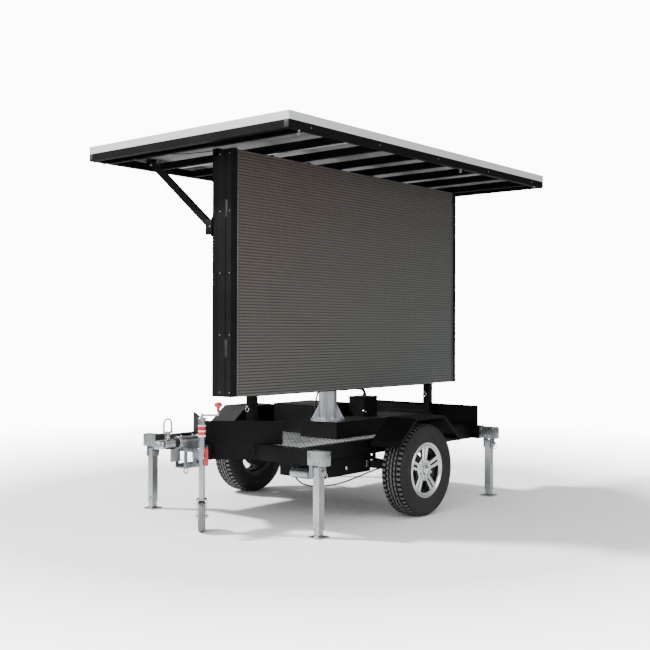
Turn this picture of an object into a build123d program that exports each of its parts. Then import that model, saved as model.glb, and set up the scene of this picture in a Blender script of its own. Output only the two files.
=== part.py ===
from build123d import *

import math
import os

# Solar-roofed LED message trailer, in millimetres.
# It is drawn about its axle: X runs to the rear, Y to the off side, Z up, and the ground is at Z = 0.
# Every node is moved by ORIGIN_SHIFT when it is written, so that the stored origin is the middle of
# the trailer's outline on the ground. "left" is the near side, at negative Y, and "front" is the hitch.

# Fits and clearances
RUNNING_FIT = 0.05
SLIDING_GAP = 0.5
DOOR_GAP = 0.3

# Wheels and axle
TYRE_DIAMETER = 650.0
TYRE_WIDTH = 188.0
TREAD_WIDTH = 130.0
BEAD_RADIUS = 178.0
BEAD_HALF_WIDTH = 78.0
TYRE_WALL = 12.0
RIM_LIP_RADIUS = 195.0
RIM_WALL = 6.0
RIM_FLANGE = 4.0
SPOKE_COUNT = 5
SPOKE_WIDTH = 24.0
SPOKE_PAIR_ANGLE = 11.0
SPOKE_DEPTH = 20.0
WHEEL_CENTRE_Y = 826.0
SPINDLE_RADIUS = 20.0
DRUM_RADIUS = 110.0
DRUM_WIDTH = 60.0
BACKING_PLATE = 6.0
HUB_FLANGE_RADIUS = 72.0
HUB_FLANGE_THICKNESS = 10.0
RIM_DISC_OFFSET = 44.0
RIM_DISC_THICKNESS = 18.0
HUB_CAP_RADIUS = 30.0
STUD_CIRCLE_DIAMETER = 112.0
STUD_RADIUS = 6.0
NUT_ACROSS_FLATS = 19.0
NUT_HEIGHT = 14.0
AXLE_SECTION = 50.0
SPRING_LEAF = 8.0
SPRING_LEAF_COUNT = 4
SPRING_WIDTH = 38.0
SPRING_HALF_LENGTH = 285.0
SPRING_RISE = 40.0

# Chassis
RAIL_BOTTOM = 450.0
RAIL_HEIGHT = 100.0
RAIL_WIDTH = 50.0
RAIL_WALL = 4.0
RAIL_OUTER_Y = 660.0
CROSS_BEAM_X = 1050.0
CROSS_BEAM_WIDTH = 76.0
CROSS_BEAM_WALL = 6.0
CROSS_BEAM_HALF_SPAN = 724.0
CROSS_MEMBER_X = 560.0
CROSS_MEMBER_WIDTH = 60.0
PROW_X = -1290.0
PROW_ANGLE = 53.0
NOSE_PLATE = 20.0
NOSE_PLATE_HALF_WIDTH = 60.0
DECK_THICKNESS = 4.0
CROSS_MEMBER_HEIGHT = 40.0
GUARD_HEIGHT = 155.0
GUARD_THICKNESS = 3.0
GUARD_LIP = 12.0
NEAR_GUARD_LENGTH = 525.0
FAR_GUARD_LENGTH = 710.0
REAR_GUARD_Y = (-670.0, 500.0)
SPINE_HALF_WIDTH = 180.0
SPINE_FRONT_X = -115.0
SPINE_TOP = 620.0
SHEET = 4.0
REAR_REST_BEAM_Y = (-280.0, 200.0)
REAR_REST_BEAM_TOP = 640.0
FENDER_INNER_Y = 700.0
FENDER_OUTER_Y = 940.0
FENDER_TOP = 700.0
FENDER_TOP_HALF = 175.0
FENDER_END_HALF = 365.0
FENDER_END_Z = 552.0
FENDER_TAIL_Z = 515.0
FENDER_SHEET = 3.0

# Support legs
ARM_WALL = 5.0
ARM_INBOARD_Y = 300.0
SLEEVE_LENGTH = 141.0
SLEEVE_WALL = 1.5
LEG_CENTRE_Y = 794.0
LEG_SECTION = 50.0
LEG_WALL = 4.0
LEG_BOTTOM = 50.0
LEG_PIVOT_Z = 420.0
LEG_PIN_RADIUS = 8.0
LEG_TOP_MARGIN = 24.0
FORK_CHEEK = 6.0
FORK_HALF_LENGTH = 33.0
FORK_BOTTOM = 385.0
FOOT_TUBE_GAP = 0.4
FOOT_TUBE_WALL = 3.0
FOOT_TUBE_TOP = 380.0
FOOT_PLATE = 100.0
FOOT_PLATE_THICKNESS = 8.0
FOOT_HOLE_SPACING = 76.0
FOOT_HOLE_RADIUS = 5.5

# Toolbox, hydraulic motor, lamps, cabinet and control box
TOOLBOX_X = (-870.0, -325.0)
TOOLBOX_Y = (-650.0, -300.0)
TOOLBOX_BOTTOM = 330.0
BOX_SHEET = 2.0
LOCK_RADIUS = 14.0
MOTOR_X = -925.0
MOTOR_Y = (-620.0, -470.0)
MOTOR_Z = 372.0
MOTOR_RADIUS = 36.0
LAMP_Y = (520.0, 680.0)
LAMP_DEPTH = 26.0
CABINET_X = (50.0, 500.0)
CABINET_Y = (186.0, 606.0)
CABINET_TOP = 720.0
CABINET_SHEET = 3.0
CABINET_DOOR_LIFT = 3.0
CABINET_SILL_LAP = 8.0
BATTERY_SIZE = (198.0, 168.0, 190.0)
CONTROL_X = (450.0, 630.0)
CONTROL_Y = (0.0, 150.0)
CONTROL_TOP = 780.0
HINGE_KNUCKLE = 5.0
HINGE_PIN = 2.5
HINGE_LEAF_DROP = 8.0
DOOR_SHEET = 2.7

# Mast
MAST_RADIUS = 70.0
MAST_WALL = 8.0
MAST_TOP = 1900.0
MAST_BASE_RADIUS = 130.0
MAST_BASE_THICKNESS = 16.0
GUSSET_COUNT = 6
GUSSET_HEIGHT = 115.0
GUSSET_OUTER_RADIUS = 122.0
GUSSET_THICKNESS = 8.0
INNER_MAST_RADIUS = 55.0
INNER_MAST_WALL = 8.0
INNER_MAST_BOTTOM = 680.0
GUIDE_LENGTH = 40.0
SLEW_FLANGE_RADIUS = 100.0
SLEW_FLANGE_THICKNESS = 16.0
SLEW_GAP_ABOVE_MAST = 40.0
SLEW_PIN_RADIUS = 32.0
SLEW_PIN_LENGTH = 40.0
ROD_RADIUS = 18.0
BARREL_RADIUS = 31.0
BARREL_WALL = 6.0
BARREL_TOP = 1820.0
WEB_Z = 1850.0

# Display
DISPLAY_LENGTH = 2680.0
MODULE_LENGTH = 320.0
MODULE_HEIGHT = 160.0
MODULE_COLUMNS = 8
MODULE_ROWS = 10
MODULE_DEPTH = 16.0
MODULE_GAP = 0.6
DISPLAY_BOTTOM = 875.0
DISPLAY_FACE_Y = -298.0
DISPLAY_DEPTH = 120.0
FRAME_SECTION = 50.0
MIDDLE_UPRIGHT_X = 450.0
YOKE_X = 60.0
YOKE_HEIGHT = 60.0
YOKE_REACH_Y = 75.0
SEAT_RAIL_HALF_LENGTH = 1100.0
SEAT_RAIL_HEIGHT = 12.0
SEAT_RAIL_WIDTH = 40.0
SIDE_SLOT_HEIGHTS = (1190.0, 2090.0)
SIDE_SLOT = (16.0, 120.0, 6.0)
SERVICE_DOOR_X = (520.0, 1220.0)
SERVICE_DOOR_Z = (1000.0, 1900.0)
REST_POST_X = 1050.0
REST_POST_Y = -210.0
REST_POST_SECTION = (50.0, 60.0)
REST_POST_WALL = 4.0
REST_PIN_RADIUS = 6.0
REST_PIN_BELOW_TOP = 63.0

# Roof
ROOF_LENGTH = 3150.0
ROOF_WIDTH = 1880.0
ROOF_CENTRE = (30.0, -37.0)
ROOF_GAP = 13.0
ROOF_BEAM_HEIGHT = 50.0
ROOF_BEAM_WIDTH = 40.0
RIB_WIDTH = 30.0
PANEL_COUNT = 4
RIB_STATIONS = (0.20, 0.72)
PANEL_HEIGHT = 52.0
PANEL_WALL = 3.0
PANEL_FLANGE = 25.0
PANEL_GAP = 2.0
LAMINATE = 6.0
LAMINATE_BELOW_TOP = 4.0
JUNCTION_BOX = (120.0, 80.0, 22.0)
BRACE_SECTION = 40.0
BRACE_FOOT_Z = 1960.0
BRACE_HEAD_Y = 520.0
BRACE_PLATE = 6.0

# Coupling
COUPLING_Z = 580.0
NOSE_REACH = 1705.0
HOUSING_X = (-1530.0, -1340.0)
HOUSING_RADIUS = 36.0
DRAW_TUBE_RADIUS = 25.0
DRAW_TUBE_END_X = -1400.0
HEAD_BACK_X = -1560.0
BALL_RADIUS = 25.0
BALL_CLEARANCE = 0.4
HEAD_RADIUS = 36.0
HEAD_BOTTOM = 553.0
HEAD_TOP = 606.0
CUP_CENTRE_Z = 575.0
HANDLE_X = -1605.0
HANDLE_PIVOT_Z = 622.0
HANDLE_PIN_RADIUS = 5.0
HANDLE_ROD_RADIUS = 6.0
HANDLE_LOOP_RADIUS = 29.0
HANDLE_TOP = 735.0
BRACKET_X = (-1500.0, -1290.0)
BRACKET_HALF_WIDTH = 45.0
BRACKET_BOTTOM = 413.0
BRACKET_PLATE = 6.0

# Jockey wheel
JOCKEY_X = -1420.0
JOCKEY_Y = -120.0
JOCKEY_OUTER_RADIUS = 24.0
JOCKEY_OUTER_Z = (470.0, 734.0)
JOCKEY_INNER_RADIUS = 20.0
JOCKEY_INNER_WALL = 3.0
JOCKEY_INNER_TOP = 520.0
JOCKEY_CLAMP_Z = (475.0, 545.0)
JOCKEY_CLAMP_RADIUS = 33.0
CLAMP_LEVER_BOTTOM = 430.0
JOCKEY_CAP = 6.0
FORK_TOP = 218.0
FORK_OUTER_WIDTH = 68.0
FORK_PLATE = 5.0
FORK_HALF_DEPTH = 16.0
JOCKEY_TRAIL = 35.0
JOCKEY_ROLL_ANGLE = 46.9
JOCKEY_WHEEL_DIAMETER = 200.0
JOCKEY_WHEEL_WIDTH = 49.0
JOCKEY_AXLE_RADIUS = 6.0
CRANK_SHAFT_RADIUS = 8.0
CRANK_ARM_LENGTH = 105.0
CRANK_ARM_Z = (752.0, 760.0)
CRANK_GRIP_Z = (797.0, 840.0)
CRANK_GRIP_RADIUS = 25.0

# Cords: points chosen by hand
BRAKE_CABLE_RADIUS = 5.0
BRAKE_CABLE_ROUTE = [
    (-1012, -440, 470),
    (-940, -440, 470),
    (-905, -446, 405),
    (-896, -455, 330),
    (-820, -470, 270),
    (-700, -488, 248),
    (-560, -500, 241),
    (-420, -508, 250),
    (-290, -524, 274),
    (-185, -556, 304),
    (-100, -590, 325),
    (-25, -590, 325),
]
CONDUIT_RADIUS = 12.0
MAST_CONDUIT_ROUTE = [
    (560, 75, 780),
    (560, 75, 826),
    (470, 66, 845),
    (340, 46, 848),
    (210, 22, 844),
    (112, 6, 856),
    (98, 2, 960),
    (98, 0, 1080),
    (84, 0, 1112),
]
CONDUIT_GLAND_RADIUS = 18.0
CONDUIT_GLAND_LENGTH = 36.0
DECK_CONDUIT_ROUTE = [(630, 75, 700), (668, 75, 700), (695, 75, 672), (695, 75, 620)]

# Heights and places that follow from the sizes above
AXLE_Z = TYRE_DIAMETER / 2
RAIL_TOP = RAIL_BOTTOM + RAIL_HEIGHT
RAIL_INNER_Y = RAIL_OUTER_Y - RAIL_WIDTH
DECK_BOTTOM = RAIL_BOTTOM + CROSS_MEMBER_HEIGHT
DECK_TOP = DECK_BOTTOM + DECK_THICKNESS
BEAM_INNER_X = CROSS_BEAM_X - CROSS_BEAM_WIDTH / 2
BEAM_OUTER_X = CROSS_BEAM_X + CROSS_BEAM_WIDTH / 2
ARM_Z = RAIL_BOTTOM + RAIL_HEIGHT / 2
ARM_SECTION = (
    CROSS_BEAM_WIDTH - 2 * CROSS_BEAM_WALL - 2 * SLIDING_GAP,
    RAIL_HEIGHT - 2 * CROSS_BEAM_WALL - 2 * SLIDING_GAP,
)
SLEEVE_SECTION = (ARM_SECTION[0] + 2 * SLEEVE_WALL, ARM_SECTION[1] + 2 * SLEEVE_WALL)
SLEEVE_BOTTOM = ARM_Z - SLEEVE_SECTION[1] / 2
DISPLAY_HEIGHT = MODULE_ROWS * MODULE_HEIGHT
DISPLAY_TOP = DISPLAY_BOTTOM + DISPLAY_HEIGHT
DISPLAY_BACK_Y = DISPLAY_FACE_Y + DISPLAY_DEPTH
FRAME_BACK_Y = DISPLAY_BACK_Y + FRAME_SECTION
END_UPRIGHT_X = (DISPLAY_LENGTH - FRAME_SECTION) / 2
POST_TOP = DISPLAY_BOTTOM - SEAT_RAIL_HEIGHT
ROOF_BOTTOM = DISPLAY_TOP + ROOF_GAP
PANEL_BOTTOM = ROOF_BOTTOM + ROOF_BEAM_HEIGHT
PANEL_TOP = PANEL_BOTTOM + PANEL_HEIGHT
ROOF_X = (ROOF_CENTRE[0] - ROOF_LENGTH / 2, ROOF_CENTRE[0] + ROOF_LENGTH / 2)
ROOF_Y = (ROOF_CENTRE[1] - ROOF_WIDTH / 2, ROOF_CENTRE[1] + ROOF_WIDTH / 2)
PANEL_PITCH = ROOF_LENGTH / PANEL_COUNT
RIB_XS = [ROOF_X[0] + PANEL_PITCH * (n + s) for n in range(PANEL_COUNT) for s in RIB_STATIONS]
SLEW_Z = MAST_TOP + SLEW_GAP_ABOVE_MAST + SLEW_FLANGE_THICKNESS
YOKE_BOTTOM = SLEW_Z + SLEW_FLANGE_THICKNESS
HEAD_X = -NOSE_REACH + HEAD_RADIUS
REST_PIN_Z = POST_TOP - REST_PIN_BELOW_TOP
ROLL = (math.cos(math.radians(JOCKEY_ROLL_ANGLE)), math.sin(math.radians(JOCKEY_ROLL_ANGLE)))
ORIGIN_SHIFT = (
    (NOSE_REACH - ROOF_X[1]) / 2,
    -(ROOF_Y[0] + max(ROOF_Y[1], FENDER_OUTER_Y)) / 2,
    0.0,
)
SIDES = {"left": -1, "right": 1}
ENDS = {"front": -1, "rear": 1}


def block(x, y, z):
    """A box between the two limits given for each axis."""
    limits = [sorted(pair) for pair in (x, y, z)]
    size = [high - low for low, high in limits]
    middle = [(high + low) / 2 for low, high in limits]
    return Pos(*middle) * Box(*size)


def box_tube(x, y, z, wall, along):
    """A rectangular tube between the limits, open at both ends along one axis."""
    limits = dict(zip("xyz", (sorted(pair) for pair in (x, y, z))))
    hollow = {axis: (low + wall, high - wall) for axis, (low, high) in limits.items()}
    hollow[along] = limits[along]
    return block(*limits.values()) - block(*hollow.values())


def rod(start, end, radius):
    """A round bar from one point to another."""
    start, end = Vector(*start), Vector(*end)
    run = end - start
    bar = Cylinder(radius, run.length, align=(Align.CENTER, Align.CENTER, Align.MIN))
    return Plane(origin=start, z_dir=run.normalized()) * bar


def pipe(start, end, outer, inner):
    """A round tube from one point to another."""
    return rod(start, end, outer) - rod(start, end, inner)


def prism(points, reach):
    """The flat outline through the points, pushed along a vector."""
    reach = Vector(*reach)
    return extrude(make_face(Polyline(*points, close=True)), reach.length, dir=reach.normalized())


def hexagon(start, end, across_flats):
    """A hexagonal bar from one point to another, as for a nut or a bolt head."""
    start, end = Vector(*start), Vector(*end)
    run = end - start
    face = RegularPolygon(across_flats / 2, 6, major_radius=False)
    return Plane(origin=start, z_dir=run.normalized()) * extrude(face, run.length)


def hinge(origin, along, away, length):
    """The fixed knuckles with their pin, and the moving knuckle with its leaf.

    The axis runs along one direction through the origin, and the door lies on the other side from away.
    """
    frame = Plane(origin=origin, x_dir=along, z_dir=away)
    third = length / 6
    fixed = rod((-length / 2, 0, 0), (length / 2, 0, 0), HINGE_PIN)
    for side in (-1, 1):
        ends = (side * (third + DOOR_GAP), side * length / 2)
        fixed += rod((ends[0], 0, 0), (ends[1], 0, 0), HINGE_KNUCKLE)
        fixed += block(ends, (0, HINGE_KNUCKLE), (-HINGE_KNUCKLE / 2, HINGE_KNUCKLE))
    plate = (HINGE_KNUCKLE - DOOR_GAP - DOOR_SHEET, HINGE_KNUCKLE - DOOR_GAP)
    moving = rod((-third, 0, 0), (third, 0, 0), HINGE_KNUCKLE - DOOR_GAP)
    moving += block((-third, third), plate, (-HINGE_LEAF_DROP, 0))
    moving -= rod((-third, 0, 0), (third, 0, 0), HINGE_PIN + RUNNING_FIT)
    return frame * fixed, frame * moving


def cord(points, radius, name):
    """A tube along straight runs joined by arcs as large as the runs allow."""
    route = [Vector(*point) for point in points]
    runs = [b - a for a, b in zip(route, route[1:])]
    radii = []
    for before, after in zip(runs, runs[1:]):
        half_turn = math.radians(before.get_angle(after)) / 2
        radii.append(0.45 * min(before.length, after.length) / math.tan(half_turn))
    path = FilletPolyline(*route, radius=radii)
    section = Plane(origin=route[0], z_dir=runs[0].normalized()) * Circle(radius)
    tube = sweep(section, path=path)
    expected = math.pi * radius**2 * path.length
    print(name, "radii", [round(r) for r in radii], "length", round(path.length))
    print(name, "volume over section times length", round(tube.volume / expected, 4))
    return tube


def save(name, *shapes):
    """Write one node: each shape's solids, moved to the stored origin."""
    solids = [solid for shape in shapes for solid in shape.solids()]
    node = solids[0] if len(solids) == 1 else Compound(children=solids)
    export_step(node.moved(Location(ORIGIN_SHIFT)), os.path.join("parts", name + ".step"))


def cup_bore():
    """The spherical seat for the tow ball, with its straight mouth."""
    radius = BALL_RADIUS + BALL_CLEARANCE
    mouth = rod((HEAD_X, 0, HEAD_BOTTOM - 1), (HEAD_X, 0, CUP_CENTRE_Z), radius)
    return mouth + Pos(HEAD_X, 0, CUP_CENTRE_Z) * Sphere(radius)


def prow_beam(side):
    """One diagonal beam from the nose to the front cross beam, square-cut at the nose plate."""
    angle = math.radians(PROW_ANGLE)
    back_x = -BEAM_OUTER_X
    outer_back = (back_x - PROW_X) * math.tan(angle)
    inner_back = outer_back - RAIL_WIDTH / math.cos(angle)
    outer_front = NOSE_PLATE * math.tan(angle)
    inner_front_x = PROW_X + RAIL_WIDTH / math.sin(angle)
    outline = [
        (PROW_X + NOSE_PLATE, 0),
        (PROW_X + NOSE_PLATE, side * outer_front),
        (back_x, side * outer_back),
        (back_x, side * inner_back),
        (inner_front_x, 0),
    ]
    return prism([(x, y, RAIL_BOTTOM) for x, y in outline], (0, 0, RAIL_HEIGHT))


def chassis_frame():
    """Rails, cross beams, deck cross members, prow beams and the nose plate, each a solid."""
    pieces = []
    rail_z = (RAIL_BOTTOM, RAIL_TOP)
    for side in SIDES.values():
        rail_y = (side * RAIL_INNER_Y, side * RAIL_OUTER_Y)
        pieces.append(box_tube((-BEAM_INNER_X, BEAM_INNER_X), rail_y, rail_z, RAIL_WALL, "x"))
        pieces.append(prow_beam(side))
    for end in ENDS.values():
        beam_x = (end * BEAM_INNER_X, end * BEAM_OUTER_X)
        span = (-CROSS_BEAM_HALF_SPAN, CROSS_BEAM_HALF_SPAN)
        pieces.append(box_tube(beam_x, span, rail_z, CROSS_BEAM_WALL, "y"))
    for x in (-CROSS_MEMBER_X, CROSS_MEMBER_X):
        member_x = (x - CROSS_MEMBER_WIDTH / 2, x + CROSS_MEMBER_WIDTH / 2)
        member_y = (-RAIL_INNER_Y, RAIL_INNER_Y)
        pieces.append(box_tube(member_x, member_y, (RAIL_BOTTOM, DECK_BOTTOM), RAIL_WALL, "y"))
    nose_y = (-NOSE_PLATE_HALF_WIDTH, NOSE_PLATE_HALF_WIDTH)
    pieces.append(block((PROW_X, PROW_X + NOSE_PLATE), nose_y, rail_z))
    return pieces


def deck_plate():
    """The recessed tread plate between the rails, which the mast stands on."""
    x = (-BEAM_INNER_X, BEAM_INNER_X)
    y = (-RAIL_INNER_Y, RAIL_INNER_Y)
    return block(x, y, (DECK_BOTTOM, DECK_TOP))


def guard(origin, along, length, inward):
    """A folded guard panel standing on the frame, with a top lip and a bolted foot."""
    frame = Plane(origin=origin, x_dir=along, z_dir=(0, 0, 1))
    height = (0, GUARD_HEIGHT)
    panel = block((0, length), (0, inward * GUARD_THICKNESS), height)
    for z in ((0, GUARD_THICKNESS), (GUARD_HEIGHT - GUARD_THICKNESS, GUARD_HEIGHT)):
        panel += block((0, length), (0, inward * GUARD_LIP), z)
    return frame * panel


def guard_panels():
    """Two panels along the prow and one across the rear."""
    angle = math.radians(PROW_ANGLE)
    pieces = []
    for side, length in ((-1, NEAR_GUARD_LENGTH), (1, FAR_GUARD_LENGTH)):
        along = (math.cos(angle), side * math.sin(angle), 0)
        start = GUARD_LIP
        origin = (PROW_X + start * along[0], start * along[1], RAIL_TOP)
        pieces.append(guard(origin, along, length - start, -side))
    rear = (BEAM_OUTER_X, REAR_GUARD_Y[0], RAIL_TOP)
    pieces.append(guard(rear, (0, 1, 0), REAR_GUARD_Y[1] - REAR_GUARD_Y[0], 1))
    return pieces


def spine_cover():
    """The raised cover along the middle of the deck, and the rest beam across its rear end."""
    x = (SPINE_FRONT_X, BEAM_INNER_X)
    y = (-SPINE_HALF_WIDTH, SPINE_HALF_WIDTH)
    cover = block(x, y, (DECK_TOP, SPINE_TOP))
    inside_x = (x[0] + SHEET, x[1] - SHEET)
    cover -= block(inside_x, (y[0] + SHEET, y[1] - SHEET), (DECK_TOP, SPINE_TOP - SHEET))
    cover -= rod((0, 0, DECK_TOP), (0, 0, SPINE_TOP), MAST_RADIUS + SLIDING_GAP)
    rest_x = (BEAM_INNER_X, BEAM_OUTER_X - GUARD_LIP)
    rest = box_tube(rest_x, REAR_REST_BEAM_Y, (RAIL_TOP, REAR_REST_BEAM_TOP), SHEET, "y")
    return [cover, rest]


def fender(side):
    """One bent mudguard with its inner wall and the two brackets to the rail."""
    crest = [
        (-FENDER_END_HALF - 22, FENDER_TAIL_Z),
        (-FENDER_END_HALF, FENDER_END_Z),
        (-FENDER_TOP_HALF, FENDER_TOP),
        (FENDER_TOP_HALF, FENDER_TOP),
        (FENDER_END_HALF, FENDER_END_Z),
        (FENDER_END_HALF + 22, FENDER_TAIL_Z),
    ]
    under = [(x * 0.992, z - FENDER_SHEET) for x, z in reversed(crest)]
    width = side * (FENDER_OUTER_Y - FENDER_INNER_Y)
    top = prism([(x, side * FENDER_INNER_Y, z) for x, z in crest + under], (0, width, 0))
    lip_under = [(x * 0.95, z - 16) for x, z in reversed(crest)]
    lip_y = side * (FENDER_OUTER_Y - FENDER_SHEET)
    top += prism([(x, lip_y, z) for x, z in crest + lip_under], (0, side * FENDER_SHEET, 0))
    wall_y = side * (FENDER_INNER_Y - FENDER_SHEET)
    wall = [(x, wall_y, z) for x, z in crest]
    top += prism(wall, (0, side * FENDER_SHEET, 0))
    for x in (-250, 250):
        bracket_y = (side * RAIL_OUTER_Y, wall_y)
        top += block((x - 20, x + 20), bracket_y, (FENDER_TAIL_Z, RAIL_TOP - 5))
    return top


def mast_outer():
    """The outer mast with base flange, gussets, top guide and the lift cylinder's barrel."""
    bore = MAST_RADIUS - MAST_WALL
    mast = pipe((0, 0, DECK_TOP), (0, 0, MAST_TOP), MAST_RADIUS, bore)
    flange_top = SPINE_TOP + MAST_BASE_THICKNESS
    mast += pipe((0, 0, SPINE_TOP), (0, 0, flange_top), MAST_BASE_RADIUS, MAST_RADIUS - 1)
    for n in range(GUSSET_COUNT):
        plate = prism(
            [
                (MAST_RADIUS - 2, -GUSSET_THICKNESS / 2, flange_top),
                (GUSSET_OUTER_RADIUS, -GUSSET_THICKNESS / 2, flange_top),
                (GUSSET_OUTER_RADIUS, -GUSSET_THICKNESS / 2, flange_top + 14),
                (MAST_RADIUS - 2, -GUSSET_THICKNESS / 2, flange_top + GUSSET_HEIGHT),
            ],
            (0, GUSSET_THICKNESS, 0),
        )
        mast += Rot(Z=360 / GUSSET_COUNT * (n + 0.5)) * plate
    guide_radius = INNER_MAST_RADIUS + RUNNING_FIT
    guide = pipe((0, 0, MAST_TOP - GUIDE_LENGTH), (0, 0, MAST_TOP), bore, guide_radius)
    conduit_end = Vector(*MAST_CONDUIT_ROUTE[-1])
    inward = (conduit_end - Vector(*MAST_CONDUIT_ROUTE[-2])).normalized() * CONDUIT_GLAND_LENGTH
    cable_gland = rod(conduit_end, conduit_end + inward, CONDUIT_GLAND_RADIUS)
    cable_gland -= rod((0, 0, DECK_TOP), (0, 0, MAST_TOP), MAST_RADIUS - 1)
    barrel_bore = BARREL_RADIUS - BARREL_WALL
    barrel = pipe((0, 0, DECK_TOP + 14), (0, 0, BARREL_TOP), BARREL_RADIUS, barrel_bore)
    gland_bottom = BARREL_TOP - GUIDE_LENGTH
    barrel += pipe((0, 0, gland_bottom), (0, 0, BARREL_TOP), BARREL_RADIUS, ROD_RADIUS + RUNNING_FIT)
    barrel += rod((0, 0, DECK_TOP), (0, 0, DECK_TOP + 14), bore)
    return [mast + cable_gland, guide, barrel]


def mast_inner():
    """The inner mast with its slewing flange and lower guide, and the lift cylinder's rod."""
    bore = INNER_MAST_RADIUS - INNER_MAST_WALL
    tube = pipe((0, 0, INNER_MAST_BOTTOM), (0, 0, SLEW_Z), INNER_MAST_RADIUS, bore)
    tube += pipe((0, 0, SLEW_Z - SLEW_FLANGE_THICKNESS), (0, 0, SLEW_Z), SLEW_FLANGE_RADIUS, bore)
    tube += rod((0, 0, WEB_Z), (0, 0, WEB_Z + SLEW_FLANGE_THICKNESS), bore + 1)
    guide_radius = MAST_RADIUS - MAST_WALL - RUNNING_FIT
    guide_top = INNER_MAST_BOTTOM + GUIDE_LENGTH
    tube += pipe((0, 0, INNER_MAST_BOTTOM), (0, 0, guide_top), guide_radius, bore)
    seat_bottom = SLEW_Z - SLEW_PIN_LENGTH
    seat = pipe((0, 0, seat_bottom), (0, 0, SLEW_Z), bore + 1, SLEW_PIN_RADIUS + RUNNING_FIT)
    piston_radius = BARREL_RADIUS - BARREL_WALL - RUNNING_FIT
    piston = rod((0, 0, INNER_MAST_BOTTOM), (0, 0, INNER_MAST_BOTTOM + 30), piston_radius)
    piston += rod((0, 0, INNER_MAST_BOTTOM), (0, 0, WEB_Z), ROD_RADIUS)
    return [tube + seat, piston]


def spring_pack(side):
    """One leaf spring: curved leaves, rolled eyes, hangers under the rail and the saddle clamp."""
    middle_y = side * (RAIL_OUTER_Y - RAIL_WIDTH / 2)
    half = SPRING_WIDTH / 2
    y = (middle_y - half, middle_y + half)
    pack_height = SPRING_LEAF * SPRING_LEAF_COUNT
    radius = (SPRING_HALF_LENGTH**2 + SPRING_RISE**2) / (2 * SPRING_RISE)
    top_middle = AXLE_Z + AXLE_SECTION / 2 + pack_height
    centre_z = top_middle + radius
    pieces = []
    for leaf in range(SPRING_LEAF_COUNT):
        inner = radius + SPRING_LEAF * leaf
        ring = pipe((0, y[0], centre_z), (0, y[1], centre_z), inner + SPRING_LEAF, inner)
        reach = SPRING_HALF_LENGTH * (1 - 0.2 * leaf)
        pieces.append(ring & block((-reach, reach), y, (AXLE_Z, RAIL_BOTTOM)))
    eye_z = top_middle + SPRING_RISE - SPRING_LEAF / 2
    for end in ENDS.values():
        x = end * SPRING_HALF_LENGTH
        main = pieces[0]
        main += pipe((x, y[0], eye_z), (x, y[1], eye_z), 14, 8)
        pieces[0] = main - rod((x, y[0], eye_z), (x, y[1], eye_z), 8)
        for cheek in (-1, 1):
            inner_y = middle_y + cheek * (half + 0.5)
            hanger = block((x - 18, x + 18), (inner_y, inner_y + cheek * 5), (eye_z - 18, RAIL_BOTTOM))
            pieces.append(hanger - rod((x, y[0] - 10, eye_z), (x, y[1] + 10, eye_z), 8))
        pieces.append(rod((x, y[0] - 6, eye_z), (x, y[1] + 6, eye_z), 8))
    return pieces


def axle_beam():
    """The square axle with its spindles, carried by a leaf spring under each rail."""
    half = AXLE_SECTION / 2
    end_y = WHEEL_CENTRE_Y - TYRE_WIDTH / 2 - 12
    beam = block((-half, half), (-end_y, end_y), (AXLE_Z - half, AXLE_Z + half))
    pieces = []
    for side in SIDES.values():
        tip = WHEEL_CENTRE_Y + RIM_DISC_OFFSET - 4
        beam += rod((0, side * (end_y - 1), AXLE_Z), (0, side * tip, AXLE_Z), SPINDLE_RADIUS)
        plate_y = (side * end_y, side * (end_y + BACKING_PLATE))
        plate = pipe((0, plate_y[0], AXLE_Z), (0, plate_y[1], AXLE_Z), DRUM_RADIUS + 4, SPINDLE_RADIUS)
        pieces += [plate] + spring_pack(side)
    return [beam] + pieces


def wheel_ring(side, offsets, outer, inner):
    """A ring about the axle between two distances outboard of the wheel's middle."""
    ys = [side * (WHEEL_CENTRE_Y + offset) for offset in offsets]
    return pipe((0, ys[0], AXLE_Z), (0, ys[1], AXLE_Z), outer, inner)


def turned_about_axle(side, edges):
    """The closed outline of (radius, offset) edges, turned about the axle."""
    section_plane = Plane(
        origin=(0, side * WHEEL_CENTRE_Y, AXLE_Z), x_dir=(0, 0, 1), z_dir=(1, 0, 0)
    )
    section = section_plane * make_face(edges)
    return revolve(section, Axis((0, side * WHEEL_CENTRE_Y, AXLE_Z), (0, 1, 0)))


def tyre_outline(bead, bulge, shoulder, tread_edge):
    """Edges of a tyre section, each point given as (radius, half width)."""
    mirrored = [(r, -w) for r, w in (bead, bulge, shoulder, tread_edge)]
    return [
        ThreePointArc(bead, bulge, shoulder),
        Line(shoulder, tread_edge),
        Line(tread_edge, mirrored[3]),
        Line(mirrored[3], mirrored[2]),
        ThreePointArc(mirrored[2], mirrored[1], mirrored[0]),
        Line(mirrored[0], bead),
    ]


def tyre(side):
    """A hollow carcass with rounded sidewalls and a flat tread."""
    outer_radius = TYRE_DIAMETER / 2
    half = TYRE_WIDTH / 2
    shell = turned_about_axle(
        side,
        tyre_outline(
            (BEAD_RADIUS, BEAD_HALF_WIDTH),
            (258, half),
            (outer_radius - 13, half - 14),
            (outer_radius, TREAD_WIDTH / 2),
        ),
    )
    hollow = turned_about_axle(
        side,
        tyre_outline(
            (BEAD_RADIUS - 2, BEAD_HALF_WIDTH - TYRE_WALL),
            (256, half - TYRE_WALL),
            (outer_radius - 30, half - 26),
            (outer_radius - 18, TREAD_WIDTH / 2 - 8),
        ),
    )
    bead_seat = (BEAD_HALF_WIDTH, TYRE_WIDTH / 2)
    for seat in (bead_seat, (-bead_seat[1], -bead_seat[0])):
        shell -= wheel_ring(side, seat, RIM_LIP_RADIUS + SLIDING_GAP, BEAD_RADIUS - 2 * RIM_WALL)
    return shell - hollow


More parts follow.
